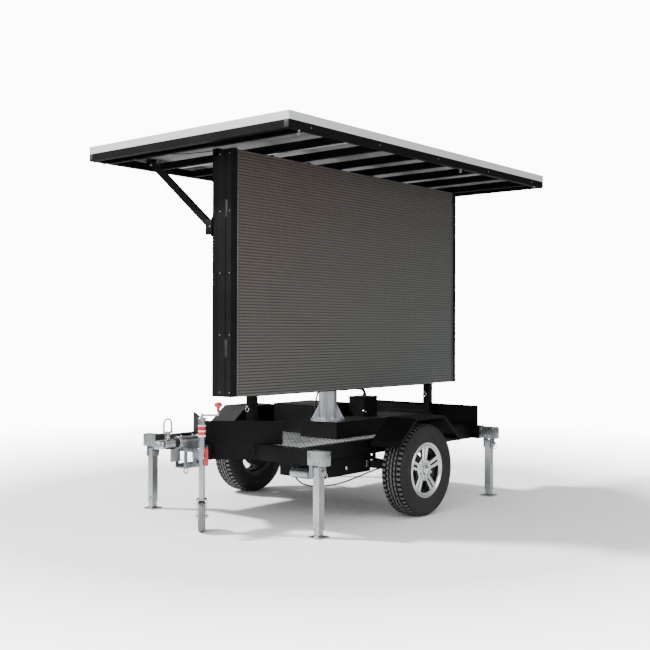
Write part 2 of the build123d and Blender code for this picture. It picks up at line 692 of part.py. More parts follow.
def rim(side):
    """A cast rim: barrel with lips, bolting disc and five pairs of spokes."""
    inner = BEAD_RADIUS - RIM_WALL
    lips = (BEAD_HALF_WIDTH, BEAD_HALF_WIDTH + RIM_FLANGE)
    wheel = wheel_ring(side, (-lips[1], lips[1]), BEAD_RADIUS, inner)
    for lip in (lips, (-lips[1], -lips[0])):
        wheel += wheel_ring(side, lip, RIM_LIP_RADIUS, inner)
    disc = (RIM_DISC_OFFSET, RIM_DISC_OFFSET + RIM_DISC_THICKNESS)
    wheel += wheel_ring(side, disc, HUB_FLANGE_RADIUS + 4, HUB_CAP_RADIUS + 2)
    spoke_y = [side * (WHEEL_CENTRE_Y + RIM_DISC_OFFSET + shift) for shift in (0, SPOKE_DEPTH)]
    spoke_x = (-SPOKE_WIDTH / 2, SPOKE_WIDTH / 2)
    bar = block(spoke_x, spoke_y, (HUB_FLANGE_RADIUS - 14, inner + 3))
    for n in range(SPOKE_COUNT):
        for lean in (-SPOKE_PAIR_ANGLE, SPOKE_PAIR_ANGLE):
            turn = 360 / SPOKE_COUNT * n + lean
            wheel += Pos(0, 0, AXLE_Z) * Rot(Y=turn) * bar
    for n in range(SPOKE_COUNT):
        hole = rod((0, spoke_y[0] - 30, 0), (0, spoke_y[0] + 60, 0), STUD_RADIUS + SLIDING_GAP)
        turn = 360 / SPOKE_COUNT * (n + 0.5)
        wheel -= Pos(0, 0, AXLE_Z) * Rot(Y=turn) * Pos(0, 0, STUD_CIRCLE_DIAMETER / 2) * hole
    return wheel


def hub(side):
    """The brake drum and bearing hub, with studs, nuts and the bearing cap."""
    flange = (RIM_DISC_OFFSET - HUB_FLANGE_THICKNESS, RIM_DISC_OFFSET)
    bore = SPINDLE_RADIUS + RUNNING_FIT
    drum_start = -TYRE_WIDTH / 2 + 2
    drum = (drum_start, drum_start + DRUM_WIDTH)
    body = wheel_ring(side, drum, DRUM_RADIUS, bore)
    body += wheel_ring(side, (drum[1] - 1, flange[1]), SPINDLE_RADIUS * 2, bore)
    body += wheel_ring(side, flange, HUB_FLANGE_RADIUS, bore)
    cap_y = [side * (WHEEL_CENTRE_Y + RIM_DISC_OFFSET + shift) for shift in (0, 32)]
    cap = rod((0, cap_y[0], AXLE_Z), (0, cap_y[1], AXLE_Z), HUB_CAP_RADIUS)
    pieces = [cap]
    for n in range(SPOKE_COUNT):
        turn = math.radians(360 / SPOKE_COUNT * (n + 0.5))
        x = STUD_CIRCLE_DIAMETER / 2 * math.sin(turn)
        z = AXLE_Z + STUD_CIRCLE_DIAMETER / 2 * math.cos(turn)
        disc_face = WHEEL_CENTRE_Y + RIM_DISC_OFFSET + RIM_DISC_THICKNESS
        body += rod((x, cap_y[0] - side * 9, z), (x, side * (disc_face + NUT_HEIGHT + 4), z), STUD_RADIUS)
        nut = hexagon((x, side * disc_face, z), (x, side * (disc_face + NUT_HEIGHT), z), NUT_ACROSS_FLATS)
        pieces.append(nut - rod((x, 0, z), (x, side * 1000, z), STUD_RADIUS))
    return [body] + pieces


def support_leg(end, side):
    """The arm, sleeve with fork and pin, leg and foot of one corner."""
    x = end * CROSS_BEAM_X
    start = side * CROSS_BEAM_HALF_SPAN
    finish = start + side * SLEEVE_LENGTH
    half_x, half_z = ARM_SECTION[0] / 2, ARM_SECTION[1] / 2
    arm_x = (x - half_x, x + half_x)
    arm_z = (ARM_Z - half_z, ARM_Z + half_z)
    arm = box_tube(arm_x, (side * ARM_INBOARD_Y, finish - side * 3), arm_z, ARM_WALL, "y")

    sleeve_x = (x - SLEEVE_SECTION[0] / 2, x + SLEEVE_SECTION[0] / 2)
    sleeve_z = (SLEEVE_BOTTOM, SLEEVE_BOTTOM + SLEEVE_SECTION[1])
    sleeve = block(sleeve_x, (start, finish), sleeve_z)
    sleeve -= block(arm_x, (start, finish - side * 3), arm_z)
    cheek_inner = LEG_SECTION / 2 + SLIDING_GAP
    for cheek in (-1, 1):
        inner_y = side * LEG_CENTRE_Y + cheek * cheek_inner
        cheek_x = (x - FORK_HALF_LENGTH, x + FORK_HALF_LENGTH)
        sleeve += block(cheek_x, (inner_y, inner_y + cheek * FORK_CHEEK), (FORK_BOTTOM, SLEEVE_BOTTOM))
    pin_ends = [side * (LEG_CENTRE_Y + reach) for reach in (-40, 58)]
    pin_start, pin_end = [(x, y, LEG_PIVOT_Z) for y in pin_ends]
    sleeve -= rod(pin_start, pin_end, LEG_PIN_RADIUS)
    pin = rod(pin_start, pin_end, LEG_PIN_RADIUS)
    nut_y = [side * (LEG_CENTRE_Y + reach) for reach in (-40, -32)]
    pin += hexagon(*[(x, y, LEG_PIVOT_Z) for y in nut_y], 24)
    pin += Pos(x, pin_ends[1] - side * 6, LEG_PIVOT_Z - 26) * Rot(Y=90) * Torus(19, 3)
    bolts = []
    for shift in (-18, 18):
        head_x = (x - SLEEVE_SECTION[0] / 2, x - SLEEVE_SECTION[0] / 2 - 7)
        bolt_y = side * LEG_CENTRE_Y + shift
        bolts.append(hexagon(*[(x, bolt_y, SLEEVE_BOTTOM + 14) for x in head_x], 13))

    half = LEG_SECTION / 2
    leg_x = (x - half, x + half)
    leg_y = (side * LEG_CENTRE_Y - half, side * LEG_CENTRE_Y + half)
    leg_top = LEG_PIVOT_Z + LEG_TOP_MARGIN
    leg = box_tube(leg_x, leg_y, (LEG_BOTTOM, leg_top), LEG_WALL, "z")
    leg -= rod(pin_start, pin_end, LEG_PIN_RADIUS + RUNNING_FIT)

    foot_half = half - LEG_WALL - FOOT_TUBE_GAP
    foot_x = (x - foot_half, x + foot_half)
    foot_y = (side * LEG_CENTRE_Y - foot_half, side * LEG_CENTRE_Y + foot_half)
    foot = box_tube(foot_x, foot_y, (FOOT_PLATE_THICKNESS, FOOT_TUBE_TOP), FOOT_TUBE_WALL, "z")
    plate_half = FOOT_PLATE / 2
    plate_y = (side * LEG_CENTRE_Y - plate_half, side * LEG_CENTRE_Y + plate_half)
    foot += block((x - plate_half, x + plate_half), plate_y, (0, FOOT_PLATE_THICKNESS))
    for hole_x in (-FOOT_HOLE_SPACING / 2, FOOT_HOLE_SPACING / 2):
        for hole_y in (-FOOT_HOLE_SPACING / 2, FOOT_HOLE_SPACING / 2):
            at = (x + hole_x, side * LEG_CENTRE_Y + hole_y)
            foot -= rod((*at, -1), (*at, FOOT_PLATE_THICKNESS + 1), FOOT_HOLE_RADIUS)
    return [arm], [sleeve, pin] + bolts, [leg], [foot]


def toolbox():
    """The under-deck box and its door, hinged along the top with a round lock in the middle."""
    y_face = TOOLBOX_Y[0]
    shell = block(TOOLBOX_X, TOOLBOX_Y, (TOOLBOX_BOTTOM, RAIL_BOTTOM))
    inside_x = (TOOLBOX_X[0] + BOX_SHEET, TOOLBOX_X[1] - BOX_SHEET)
    inside_z = (TOOLBOX_BOTTOM + BOX_SHEET, RAIL_BOTTOM - BOX_SHEET)
    shell -= block(inside_x, (y_face, TOOLBOX_Y[1] - BOX_SHEET), inside_z)
    shell += block(TOOLBOX_X, (y_face, y_face + BOX_SHEET), (RAIL_BOTTOM - 16, RAIL_BOTTOM))
    axis_z = RAIL_BOTTOM - HINGE_KNUCKLE - 2
    middle_x = (TOOLBOX_X[0] + TOOLBOX_X[1]) / 2
    origin = (middle_x, y_face - HINGE_KNUCKLE, axis_z)
    fixed, moving = hinge(origin, (1, 0, 0), (0, 0, 1), 360)
    door_y = (y_face - DOOR_GAP - DOOR_SHEET, y_face - DOOR_GAP)
    door_z = (TOOLBOX_BOTTOM + BOX_SHEET, axis_z - HINGE_LEAF_DROP + 1)
    door = block((TOOLBOX_X[0] + 1, TOOLBOX_X[1] - 1), door_y, door_z) + moving
    middle_z = (door_z[0] + door_z[1]) / 2
    lock = rod((middle_x, door_y[0], middle_z), (middle_x, door_y[0] - 7, middle_z), LOCK_RADIUS)
    return shell + fixed, [door, lock]


def equipment_cabinet():
    """The cabinet behind the mast, its rear door, which opens over the rail, and the batteries in it."""
    sheet = CABINET_SHEET
    rear_x = CABINET_X[1]
    shell = block(CABINET_X, CABINET_Y, (DECK_TOP, CABINET_TOP))
    inside_y = (CABINET_Y[0] + sheet, CABINET_Y[1] - sheet)
    shell -= block((CABINET_X[0] + sheet, rear_x), inside_y, (DECK_TOP + sheet, CABINET_TOP - sheet))
    shell += block((rear_x - sheet, rear_x), (CABINET_Y[1] - 16, CABINET_Y[1]), (DECK_TOP, CABINET_TOP))
    sill_top = RAIL_TOP + CABINET_DOOR_LIFT + CABINET_SILL_LAP
    shell += block((rear_x - sheet, rear_x), CABINET_Y, (DECK_TOP, sill_top))
    middle_z = (RAIL_TOP + CABINET_TOP) / 2
    axis_y = CABINET_Y[1] - HINGE_KNUCKLE - 2
    origin = (rear_x + HINGE_KNUCKLE, axis_y, middle_z)
    fixed, moving = hinge(origin, (0, 0, -1), (0, 1, 0), 120)
    door_x = (rear_x + DOOR_GAP, rear_x + DOOR_GAP + DOOR_SHEET)
    door_y = (CABINET_Y[0] + 1, axis_y - HINGE_LEAF_DROP + 1)
    door = block(door_x, door_y, (RAIL_TOP + CABINET_DOOR_LIFT, CABINET_TOP - 1)) + moving
    for row in range(6):
        slot_z = middle_z - 45 + 18 * row
        slot_y = (door_y[0] + 90, door_y[1] - 90)
        door -= block(door_x, slot_y, (slot_z, slot_z + 5))
    batteries = []
    for column in range(2):
        for row in range(2):
            low_x = CABINET_X[0] + sheet + 10 + column * (BATTERY_SIZE[0] + 10)
            low_y = CABINET_Y[0] + sheet + 20 + row * (BATTERY_SIZE[1] + 20)
            low_z = DECK_TOP + sheet
            case = block(
                (low_x, low_x + BATTERY_SIZE[0]),
                (low_y, low_y + BATTERY_SIZE[1]),
                (low_z, low_z + BATTERY_SIZE[2]),
            )
            for pole in (35, BATTERY_SIZE[0] - 35):
                top = low_z + BATTERY_SIZE[2]
                case += rod((low_x + pole, low_y + 30, top), (low_x + pole, low_y + 30, top + 14), 9)
            batteries.append(case)
    return shell + fixed, door, batteries


def control_box():
    """The small box on the spine cover, with an overhanging lid and two cable glands."""
    box = block(CONTROL_X, CONTROL_Y, (SPINE_TOP, CONTROL_TOP - 12))
    inside_x = (CONTROL_X[0] + BOX_SHEET, CONTROL_X[1] - BOX_SHEET)
    inside_y = (CONTROL_Y[0] + BOX_SHEET, CONTROL_Y[1] - BOX_SHEET)
    box -= block(inside_x, inside_y, (SPINE_TOP, CONTROL_TOP - 14))
    lid_x = (CONTROL_X[0] - 6, CONTROL_X[1] + 6)
    lid_y = (CONTROL_Y[0] - 6, CONTROL_Y[1] + 6)
    lid = block(lid_x, lid_y, (CONTROL_TOP - 12, CONTROL_TOP - 4))
    start = MAST_CONDUIT_ROUTE[0]
    lid += rod((*start[:2], CONTROL_TOP - 5), start, CONDUIT_GLAND_RADIUS)
    side_start = DECK_CONDUIT_ROUTE[0]
    gland_x = CONTROL_X[1] - 1
    box += rod((gland_x, *side_start[1:]), side_start, CONDUIT_GLAND_RADIUS)
    return [box, lid]


def hydraulic_motor():
    """The power unit's motor, hung from the rail by a plate."""
    body = rod((MOTOR_X, MOTOR_Y[0], MOTOR_Z), (MOTOR_X, MOTOR_Y[1], MOTOR_Z), MOTOR_RADIUS)
    body += rod((MOTOR_X, MOTOR_Y[0] - 8, MOTOR_Z), (MOTOR_X, MOTOR_Y[0], MOTOR_Z), MOTOR_RADIUS - 6)
    hanger = block((MOTOR_X - 30, MOTOR_X + 30), (-655, -615), (RAIL_BOTTOM - 6, RAIL_BOTTOM))
    hanger += block((MOTOR_X - 30, MOTOR_X + 30), (-640, -634), (MOTOR_Z - 30, RAIL_BOTTOM))
    hanger += rod((MOTOR_X, -634, MOTOR_Z), (MOTOR_X, MOTOR_Y[0] - 8, MOTOR_Z), 14)
    return [body, hanger]


def tail_lamps():
    """A lamp with its lens at each end of the rear cross beam."""
    pieces = []
    for side in SIDES.values():
        y = (side * LAMP_Y[0], side * LAMP_Y[1])
        body_x = (BEAM_OUTER_X, BEAM_OUTER_X + LAMP_DEPTH * 0.6)
        lens_x = (body_x[1], BEAM_OUTER_X + LAMP_DEPTH)
        pieces.append(block(body_x, y, (RAIL_BOTTOM + 20, RAIL_TOP - 20)))
        lens_y = (side * (LAMP_Y[0] + 4), side * (LAMP_Y[1] - 4))
        pieces.append(block(lens_x, lens_y, (RAIL_BOTTOM + 24, RAIL_TOP - 24)))
    return pieces


def rest_posts():
    """Two posts that carry the seat rail, each with a cross hole for its lock pin."""
    posts, pins = [], []
    for end, foot in ((-1, RAIL_TOP), (1, REAR_REST_BEAM_TOP)):
        x = (end * REST_POST_X - REST_POST_SECTION[0] / 2, end * REST_POST_X + REST_POST_SECTION[0] / 2)
        y = (REST_POST_Y - REST_POST_SECTION[1] / 2, REST_POST_Y + REST_POST_SECTION[1] / 2)
        post = box_tube(x, y, (foot, POST_TOP - 6), REST_POST_WALL, "z")
        post += block(x, y, (POST_TOP - 6, POST_TOP))
        start = (x[0] - 26, REST_POST_Y, REST_PIN_Z)
        finish = (x[1] + 4, REST_POST_Y, REST_PIN_Z)
        posts.append(post - rod(start, finish, REST_PIN_RADIUS + RUNNING_FIT))
        pin = rod(start, finish, REST_PIN_RADIUS)
        pin += rod(start, (x[0] - 18, REST_POST_Y, REST_PIN_Z), 9)
        pin += Pos(x[0] - 22, REST_POST_Y, REST_PIN_Z - 20) * Rot(Y=90) * Torus(15, 2.5)
        pins.append(pin)
    return posts, pins


def coupling():
    """The overrun housing on its bracket, the sliding head with the ball cup, bellows and handle."""
    z = COUPLING_Z
    housing = pipe((HOUSING_X[0], 0, z), (HOUSING_X[1], 0, z), HOUSING_RADIUS, DRAW_TUBE_RADIUS + RUNNING_FIT)
    foot_x = (BRACKET_X[0], HOUSING_X[1])
    foot = block(foot_x, (-HOUSING_RADIUS, HOUSING_RADIUS), (z - HOUSING_RADIUS, z))
    foot -= rod((foot_x[0], 0, z), (foot_x[1], 0, z), HOUSING_RADIUS - 2)
    housing += foot
    bracket_top = z - HOUSING_RADIUS
    half = BRACKET_HALF_WIDTH
    bracket = block(BRACKET_X, (-half, half), (bracket_top - BRACKET_PLATE, bracket_top))
    for side in SIDES.values():
        cheek_y = (side * half, side * (half - BRACKET_PLATE))
        bracket += block(BRACKET_X, cheek_y, (BRACKET_BOTTOM, bracket_top))
    bracket += block(BRACKET_X, (-half, half), (BRACKET_BOTTOM, BRACKET_BOTTOM + BRACKET_PLATE))
    back_x = (BRACKET_X[1] - BRACKET_PLATE, BRACKET_X[1])
    bracket += block(back_x, (-half, half), (BRACKET_BOTTOM, bracket_top))
    for low_x, high_x in ((-1475, -1425), (-1400, -1320)):
        bracket -= block((low_x, high_x), (-half, half), (BRACKET_BOTTOM + 24, bracket_top - 24))
    ring = Pos(BRACKET_X[0] + 14, -half + 3, BRACKET_BOTTOM - 14) * Rot(X=90) * Torus(17, 4)
    stop_plate = block((BRACKET_X[0] - 80, BRACKET_X[0]), (-3, 3), (460, bracket_top - 4))

    head = rod((HEAD_X, 0, HEAD_BOTTOM), (HEAD_X, 0, HEAD_TOP), HEAD_RADIUS)
    head += block((HEAD_X, HEAD_BACK_X), (-24, 24), (HEAD_BOTTOM + 3, HEAD_TOP))
    head += rod((HEAD_BACK_X - 1, 0, z), (DRAW_TUBE_END_X, 0, z), DRAW_TUBE_RADIUS)
    lug_x = (HANDLE_X - 12, HANDLE_X + 12)
    head += block(lug_x, (-7, 7), (HEAD_TOP - 1, HANDLE_PIVOT_Z + 8))
    head -= cup_bore()
    pin_ends = [(HANDLE_X, y, HANDLE_PIVOT_Z) for y in (-14, 14)]
    head += rod(*pin_ends, HANDLE_PIN_RADIUS)

    handle = block(lug_x, (-11.5, 11.5), (HANDLE_PIVOT_Z - 10, HANDLE_PIVOT_Z + 34))
    gap_y = (-7 - SLIDING_GAP, 7 + SLIDING_GAP)
    handle -= block(lug_x, gap_y, (HANDLE_PIVOT_Z - 10, HANDLE_PIVOT_Z + 22))
    handle -= rod(*pin_ends, HANDLE_PIN_RADIUS + RUNNING_FIT)
    arms_x = (HANDLE_X - HANDLE_LOOP_RADIUS - 6, HANDLE_X + HANDLE_LOOP_RADIUS + 6)
    handle += block(arms_x, (-7, 7), (HANDLE_PIVOT_Z + 24, HANDLE_PIVOT_Z + 36))
    loop_z = HANDLE_TOP - HANDLE_ROD_RADIUS - HANDLE_LOOP_RADIUS
    loop = Pos(HANDLE_X, 0, loop_z) * Rot(X=90) * Torus(HANDLE_LOOP_RADIUS, HANDLE_ROD_RADIUS)
    loop &= block((-NOSE_REACH, -1500), (-20, 20), (loop_z, HANDLE_TOP + 1))
    for end in (-1, 1):
        x = HANDLE_X + end * HANDLE_LOOP_RADIUS
        loop += rod((x, 0, HANDLE_PIVOT_Z + 30), (x, 0, loop_z), HANDLE_ROD_RADIUS)
    handle += loop

    folds = 3
    pitch = (HOUSING_X[0] - HEAD_BACK_X) / folds
    inner = DRAW_TUBE_RADIUS + 1
    crest, valley = HOUSING_RADIUS - 3, DRAW_TUBE_RADIUS + 4
    outline = [(HEAD_BACK_X, 0, z + inner), (HEAD_BACK_X, 0, z + valley)]
    for n in range(folds):
        x = HEAD_BACK_X + n * pitch
        outline += [(x + pitch / 2, 0, z + crest), (x + pitch, 0, z + valley)]
    outline.append((HOUSING_X[0], 0, z + inner))
    bellows = revolve(make_face(Polyline(*outline, close=True)), Axis((0, 0, z), (1, 0, 0)))
    return [housing, bracket + ring, stop_plate], head, handle, bellows


def jockey():
    """The clamp, outer tube, screw-driven inner tube, fork, wheel and crank of the jockey wheel."""
    def at(z, along=0.0, across=0.0):
        """A point at a height, along and across the wheel's rolling direction."""
        x = JOCKEY_X + along * ROLL[0] - across * ROLL[1]
        y = JOCKEY_Y + along * ROLL[1] + across * ROLL[0]
        return (x, y, z)

    outer_r = JOCKEY_OUTER_RADIUS
    clamp = pipe(at(JOCKEY_CLAMP_Z[0]), at(JOCKEY_CLAMP_Z[1]), JOCKEY_CLAMP_RADIUS, outer_r)
    arm_y = (JOCKEY_Y + outer_r + 4, -BRACKET_HALF_WIDTH)
    arm = block((JOCKEY_X - 20, JOCKEY_X + 20), arm_y, (JOCKEY_CLAMP_Z[0] + 8, JOCKEY_CLAMP_Z[1] - 12))
    clamp += arm - rod(at(JOCKEY_CLAMP_Z[0]), at(JOCKEY_CLAMP_Z[1]), JOCKEY_CLAMP_RADIUS - 1)
    lever_y = JOCKEY_Y - JOCKEY_CLAMP_RADIUS
    clamp += rod((JOCKEY_X + 4, lever_y + 4, 515), (JOCKEY_X + 4, lever_y - 14, 515), 7)
    clamp += rod((JOCKEY_X + 4, lever_y - 10, 518), (JOCKEY_X - 6, lever_y - 10, CLAMP_LEVER_BOTTOM), 8)

    tube_bore = JOCKEY_INNER_RADIUS + RUNNING_FIT
    tube = pipe(at(JOCKEY_OUTER_Z[0]), at(JOCKEY_OUTER_Z[1]), outer_r, tube_bore)
    cap_bottom = JOCKEY_OUTER_Z[1] - JOCKEY_CAP
    tube += pipe(at(cap_bottom), at(JOCKEY_OUTER_Z[1]), outer_r, CRANK_SHAFT_RADIUS + RUNNING_FIT)

    inner_bore = JOCKEY_INNER_RADIUS - JOCKEY_INNER_WALL
    inner = pipe(at(FORK_TOP), at(JOCKEY_INNER_TOP), JOCKEY_INNER_RADIUS, inner_bore)
    inner += rod(at(FORK_TOP), at(FORK_TOP + 8), JOCKEY_INNER_RADIUS)

    fork_frame = Plane(origin=at(0), x_dir=(*ROLL, 0), z_dir=(0, 0, 1))
    half = FORK_OUTER_WIDTH / 2
    wheel_z = JOCKEY_WHEEL_DIAMETER / 2
    fork = block((-22, JOCKEY_TRAIL), (-half, half), (FORK_TOP - 8, FORK_TOP))
    for side in SIDES.values():
        y = side * half
        outline = [
            (-22, y, FORK_TOP),
            (JOCKEY_TRAIL + 6, y, FORK_TOP),
            (JOCKEY_TRAIL + FORK_HALF_DEPTH, y, wheel_z),
            (JOCKEY_TRAIL + FORK_HALF_DEPTH * 0.6, y, wheel_z - 16),
            (JOCKEY_TRAIL - FORK_HALF_DEPTH * 0.6, y, wheel_z - 16),
            (JOCKEY_TRAIL - FORK_HALF_DEPTH, y, wheel_z),
        ]
        fork += prism(outline, (0, -side * FORK_PLATE, 0))
    axle = rod((JOCKEY_TRAIL, -half - 6, wheel_z), (JOCKEY_TRAIL, half + 6, wheel_z), JOCKEY_AXLE_RADIUS)
    fork += axle

    width = JOCKEY_WHEEL_WIDTH / 2
    ends = [(JOCKEY_TRAIL, y, wheel_z) for y in (-width, width)]
    wheel = fillet(rod(*ends, wheel_z).edges(), 9)
    for side in SIDES.values():
        dish = [(JOCKEY_TRAIL, side * y, wheel_z) for y in (width - 9, width)]
        wheel -= rod(*dish, wheel_z - 32)
        wheel += rod(*dish, 18)
    wheel -= rod(*ends, JOCKEY_AXLE_RADIUS + RUNNING_FIT)

    crank = rod(at(cap_bottom - 6), at(CRANK_ARM_Z[1]), CRANK_SHAFT_RADIUS)
    crank_frame = Plane(origin=(JOCKEY_X, JOCKEY_Y, 0), x_dir=(0.639, -0.769, 0), z_dir=(0, 0, 1))
    arm = block((0, CRANK_ARM_LENGTH), (-9, 9), CRANK_ARM_Z)
    arm += rod((CRANK_ARM_LENGTH, 0, CRANK_ARM_Z[0]), (CRANK_ARM_LENGTH, 0, CRANK_GRIP_Z[0] + 4), 7)
    grip_ends = [(CRANK_ARM_LENGTH, 0, z) for z in CRANK_GRIP_Z]
    grip = fillet(rod(*grip_ends, CRANK_GRIP_RADIUS).edges(), 12)
    grip -= rod(grip_ends[0], (CRANK_ARM_LENGTH, 0, CRANK_GRIP_Z[0] + 4), 7)
    crank += crank_frame * arm
    return {
        "jockey_clamp": [clamp],
        "jockey_outer_tube": [tube],
        "jockey_inner_tube": [inner],
        "jockey_fork": [fork_frame * fork],
        "jockey_wheel": [fork_frame * wheel],
        "jockey_crank": [crank, crank_frame * grip],
    }


def display_cabinet():
    """The sheet cabinet behind the modules, with its end bezels, side slots and door opening."""
    half = DISPLAY_LENGTH / 2
    wall = CABINET_SHEET
    z = (DISPLAY_BOTTOM, DISPLAY_TOP)
    backing_y = DISPLAY_FACE_Y + MODULE_DEPTH
    shell = block((-half, half), (DISPLAY_FACE_Y, DISPLAY_BACK_Y), z)
    modules_half = MODULE_COLUMNS * MODULE_LENGTH / 2 + MODULE_GAP
    shell -= block((-modules_half, modules_half), (DISPLAY_FACE_Y, backing_y), z)
    inside_y = (backing_y + wall, DISPLAY_BACK_Y - wall)
    shell -= block((-half + 8, half - 8), inside_y, (z[0] + wall, z[1] - wall))
    opening_x = (SERVICE_DOOR_X[0] + 15, SERVICE_DOOR_X[1] - 25)
    opening_z = (SERVICE_DOOR_Z[0] + 15, SERVICE_DOOR_Z[1] - 15)
    shell -= block(opening_x, (DISPLAY_BACK_Y - wall, DISPLAY_BACK_Y), opening_z)
    middle_y = (DISPLAY_FACE_Y + DISPLAY_BACK_Y) / 2 - 20
    for height in SIDE_SLOT_HEIGHTS:
        slot_y = (middle_y - SIDE_SLOT[0] / 2, middle_y + SIDE_SLOT[0] / 2)
        slot_z = (height - SIDE_SLOT[1] / 2, height + SIDE_SLOT[1] / 2)
        shell -= block((-half, -half + SIDE_SLOT[2]), slot_y, slot_z)
    axis_x = SERVICE_DOOR_X[1]
    origin = (axis_x, DISPLAY_BACK_Y + HINGE_KNUCKLE, (SERVICE_DOOR_Z[0] + SERVICE_DOOR_Z[1]) / 2)
    fixed, moving = hinge(origin, (0, 0, 1), (1, 0, 0), 600)
    door_y = (DISPLAY_BACK_Y + DOOR_GAP, DISPLAY_BACK_Y + DOOR_GAP + DOOR_SHEET)
    door = block((SERVICE_DOOR_X[0], axis_x - HINGE_LEAF_DROP + 1), door_y, SERVICE_DOOR_Z) + moving
    handle_x = SERVICE_DOOR_X[0] + 40
    for x in (handle_x, handle_x + 16):
        door += block((x - 3, x + 3), (door_y[0], door_y[1] + 22), (1390, 1398))
        door += block((x - 3, x + 3), (door_y[0], door_y[1] + 22), (1502, 1510))
    door += block((handle_x - 3, handle_x + 19), (door_y[1] + 16, door_y[1] + 24), (1390, 1510))
    return shell + fixed, door


def led_modules():
    """The grid of display modules."""
    pieces = []
    left = -MODULE_COLUMNS * MODULE_LENGTH / 2
    y = (DISPLAY_FACE_Y, DISPLAY_FACE_Y + MODULE_DEPTH)
    edge = MODULE_GAP / 2
    for column in range(MODULE_COLUMNS):
        for row in range(MODULE_ROWS):
            low_x = left + column * MODULE_LENGTH
            low_z = DISPLAY_BOTTOM + row * MODULE_HEIGHT
            x = (low_x + edge, low_x + MODULE_LENGTH - edge)
            z = (low_z + edge, low_z + MODULE_HEIGHT - edge)
            pieces.append(block(x, y, z))
    return pieces


def display_back_frame():
    """Uprights, cross beams, yoke and slewing pin behind the cabinet, and the seat rail under it."""
    section = FRAME_SECTION
    y = (DISPLAY_BACK_Y, FRAME_BACK_Y)
    header_z = (ROOF_BOTTOM - section, ROOF_BOTTOM)
    xs = (-END_UPRIGHT_X, -MIDDLE_UPRIGHT_X, MIDDLE_UPRIGHT_X, END_UPRIGHT_X)
    pieces = []
    for x in xs:
        limits = (x - section / 2, x + section / 2)
        pieces.append(box_tube(limits, y, (DISPLAY_BOTTOM, header_z[0]), SHEET, "z"))
    half = END_UPRIGHT_X + section / 2
    pieces.append(box_tube((-half, half), y, header_z, SHEET, "x"))
    for left, right in zip(xs, xs[1:]):
        span = (left + section / 2, right - section / 2)
        for low_z, height in ((DISPLAY_BOTTOM, section), (YOKE_BOTTOM, YOKE_HEIGHT)):
            pieces.append(box_tube(span, y, (low_z, low_z + height), SHEET, "x"))
    for x in (-YOKE_X, YOKE_X):
        arm_x = (x - section / 2, x + section / 2)
        arm_y = (FRAME_BACK_Y, YOKE_REACH_Y)
        pieces.append(box_tube(arm_x, arm_y, (YOKE_BOTTOM, YOKE_BOTTOM + YOKE_HEIGHT), SHEET, "y"))
    plate = rod((0, 0, SLEW_Z), (0, 0, YOKE_BOTTOM), SLEW_FLANGE_RADIUS)
    plate += rod((0, 0, SLEW_Z - SLEW_PIN_LENGTH), (0, 0, SLEW_Z + 1), SLEW_PIN_RADIUS)
    pieces.append(plate)
    rail_y = (REST_POST_Y - SEAT_RAIL_WIDTH / 2, REST_POST_Y + SEAT_RAIL_WIDTH / 2)
    rail_x = (-SEAT_RAIL_HALF_LENGTH, SEAT_RAIL_HALF_LENGTH)
    pieces.append(block(rail_x, rail_y, (POST_TOP, DISPLAY_BOTTOM)))
    return pieces


def roof_frame():
    """The perimeter frame with its ribs and the plates that take the brace heads."""
    z = (ROOF_BOTTOM, PANEL_BOTTOM)
    width = ROOF_BEAM_WIDTH
    inner_y = (ROOF_Y[0] + width, ROOF_Y[1] - width)
    pieces = [
        box_tube(ROOF_X, (ROOF_Y[0], inner_y[0]), z, RAIL_WALL, "x"),
        box_tube(ROOF_X, (inner_y[1], ROOF_Y[1]), z, RAIL_WALL, "x"),
        box_tube((ROOF_X[0], ROOF_X[0] + width), inner_y, z, RAIL_WALL, "y"),
        box_tube((ROOF_X[1] - width, ROOF_X[1]), inner_y, z, RAIL_WALL, "y"),
    ]
    for x in RIB_XS:
        pieces.append(box_tube((x - RIB_WIDTH / 2, x + RIB_WIDTH / 2), inner_y, z, 3, "y"))
    for end, rib_x in ((-1, RIB_XS[0]), (1, RIB_XS[-1])):
        plate_x = (rib_x + end * RIB_WIDTH / 2, end * (END_UPRIGHT_X - BRACE_SECTION / 2))
        plate_y = (BRACE_HEAD_Y - 40, BRACE_HEAD_Y + 40)
        pieces.append(block(plate_x, plate_y, (ROOF_BOTTOM - BRACE_PLATE, ROOF_BOTTOM)))
    return pieces


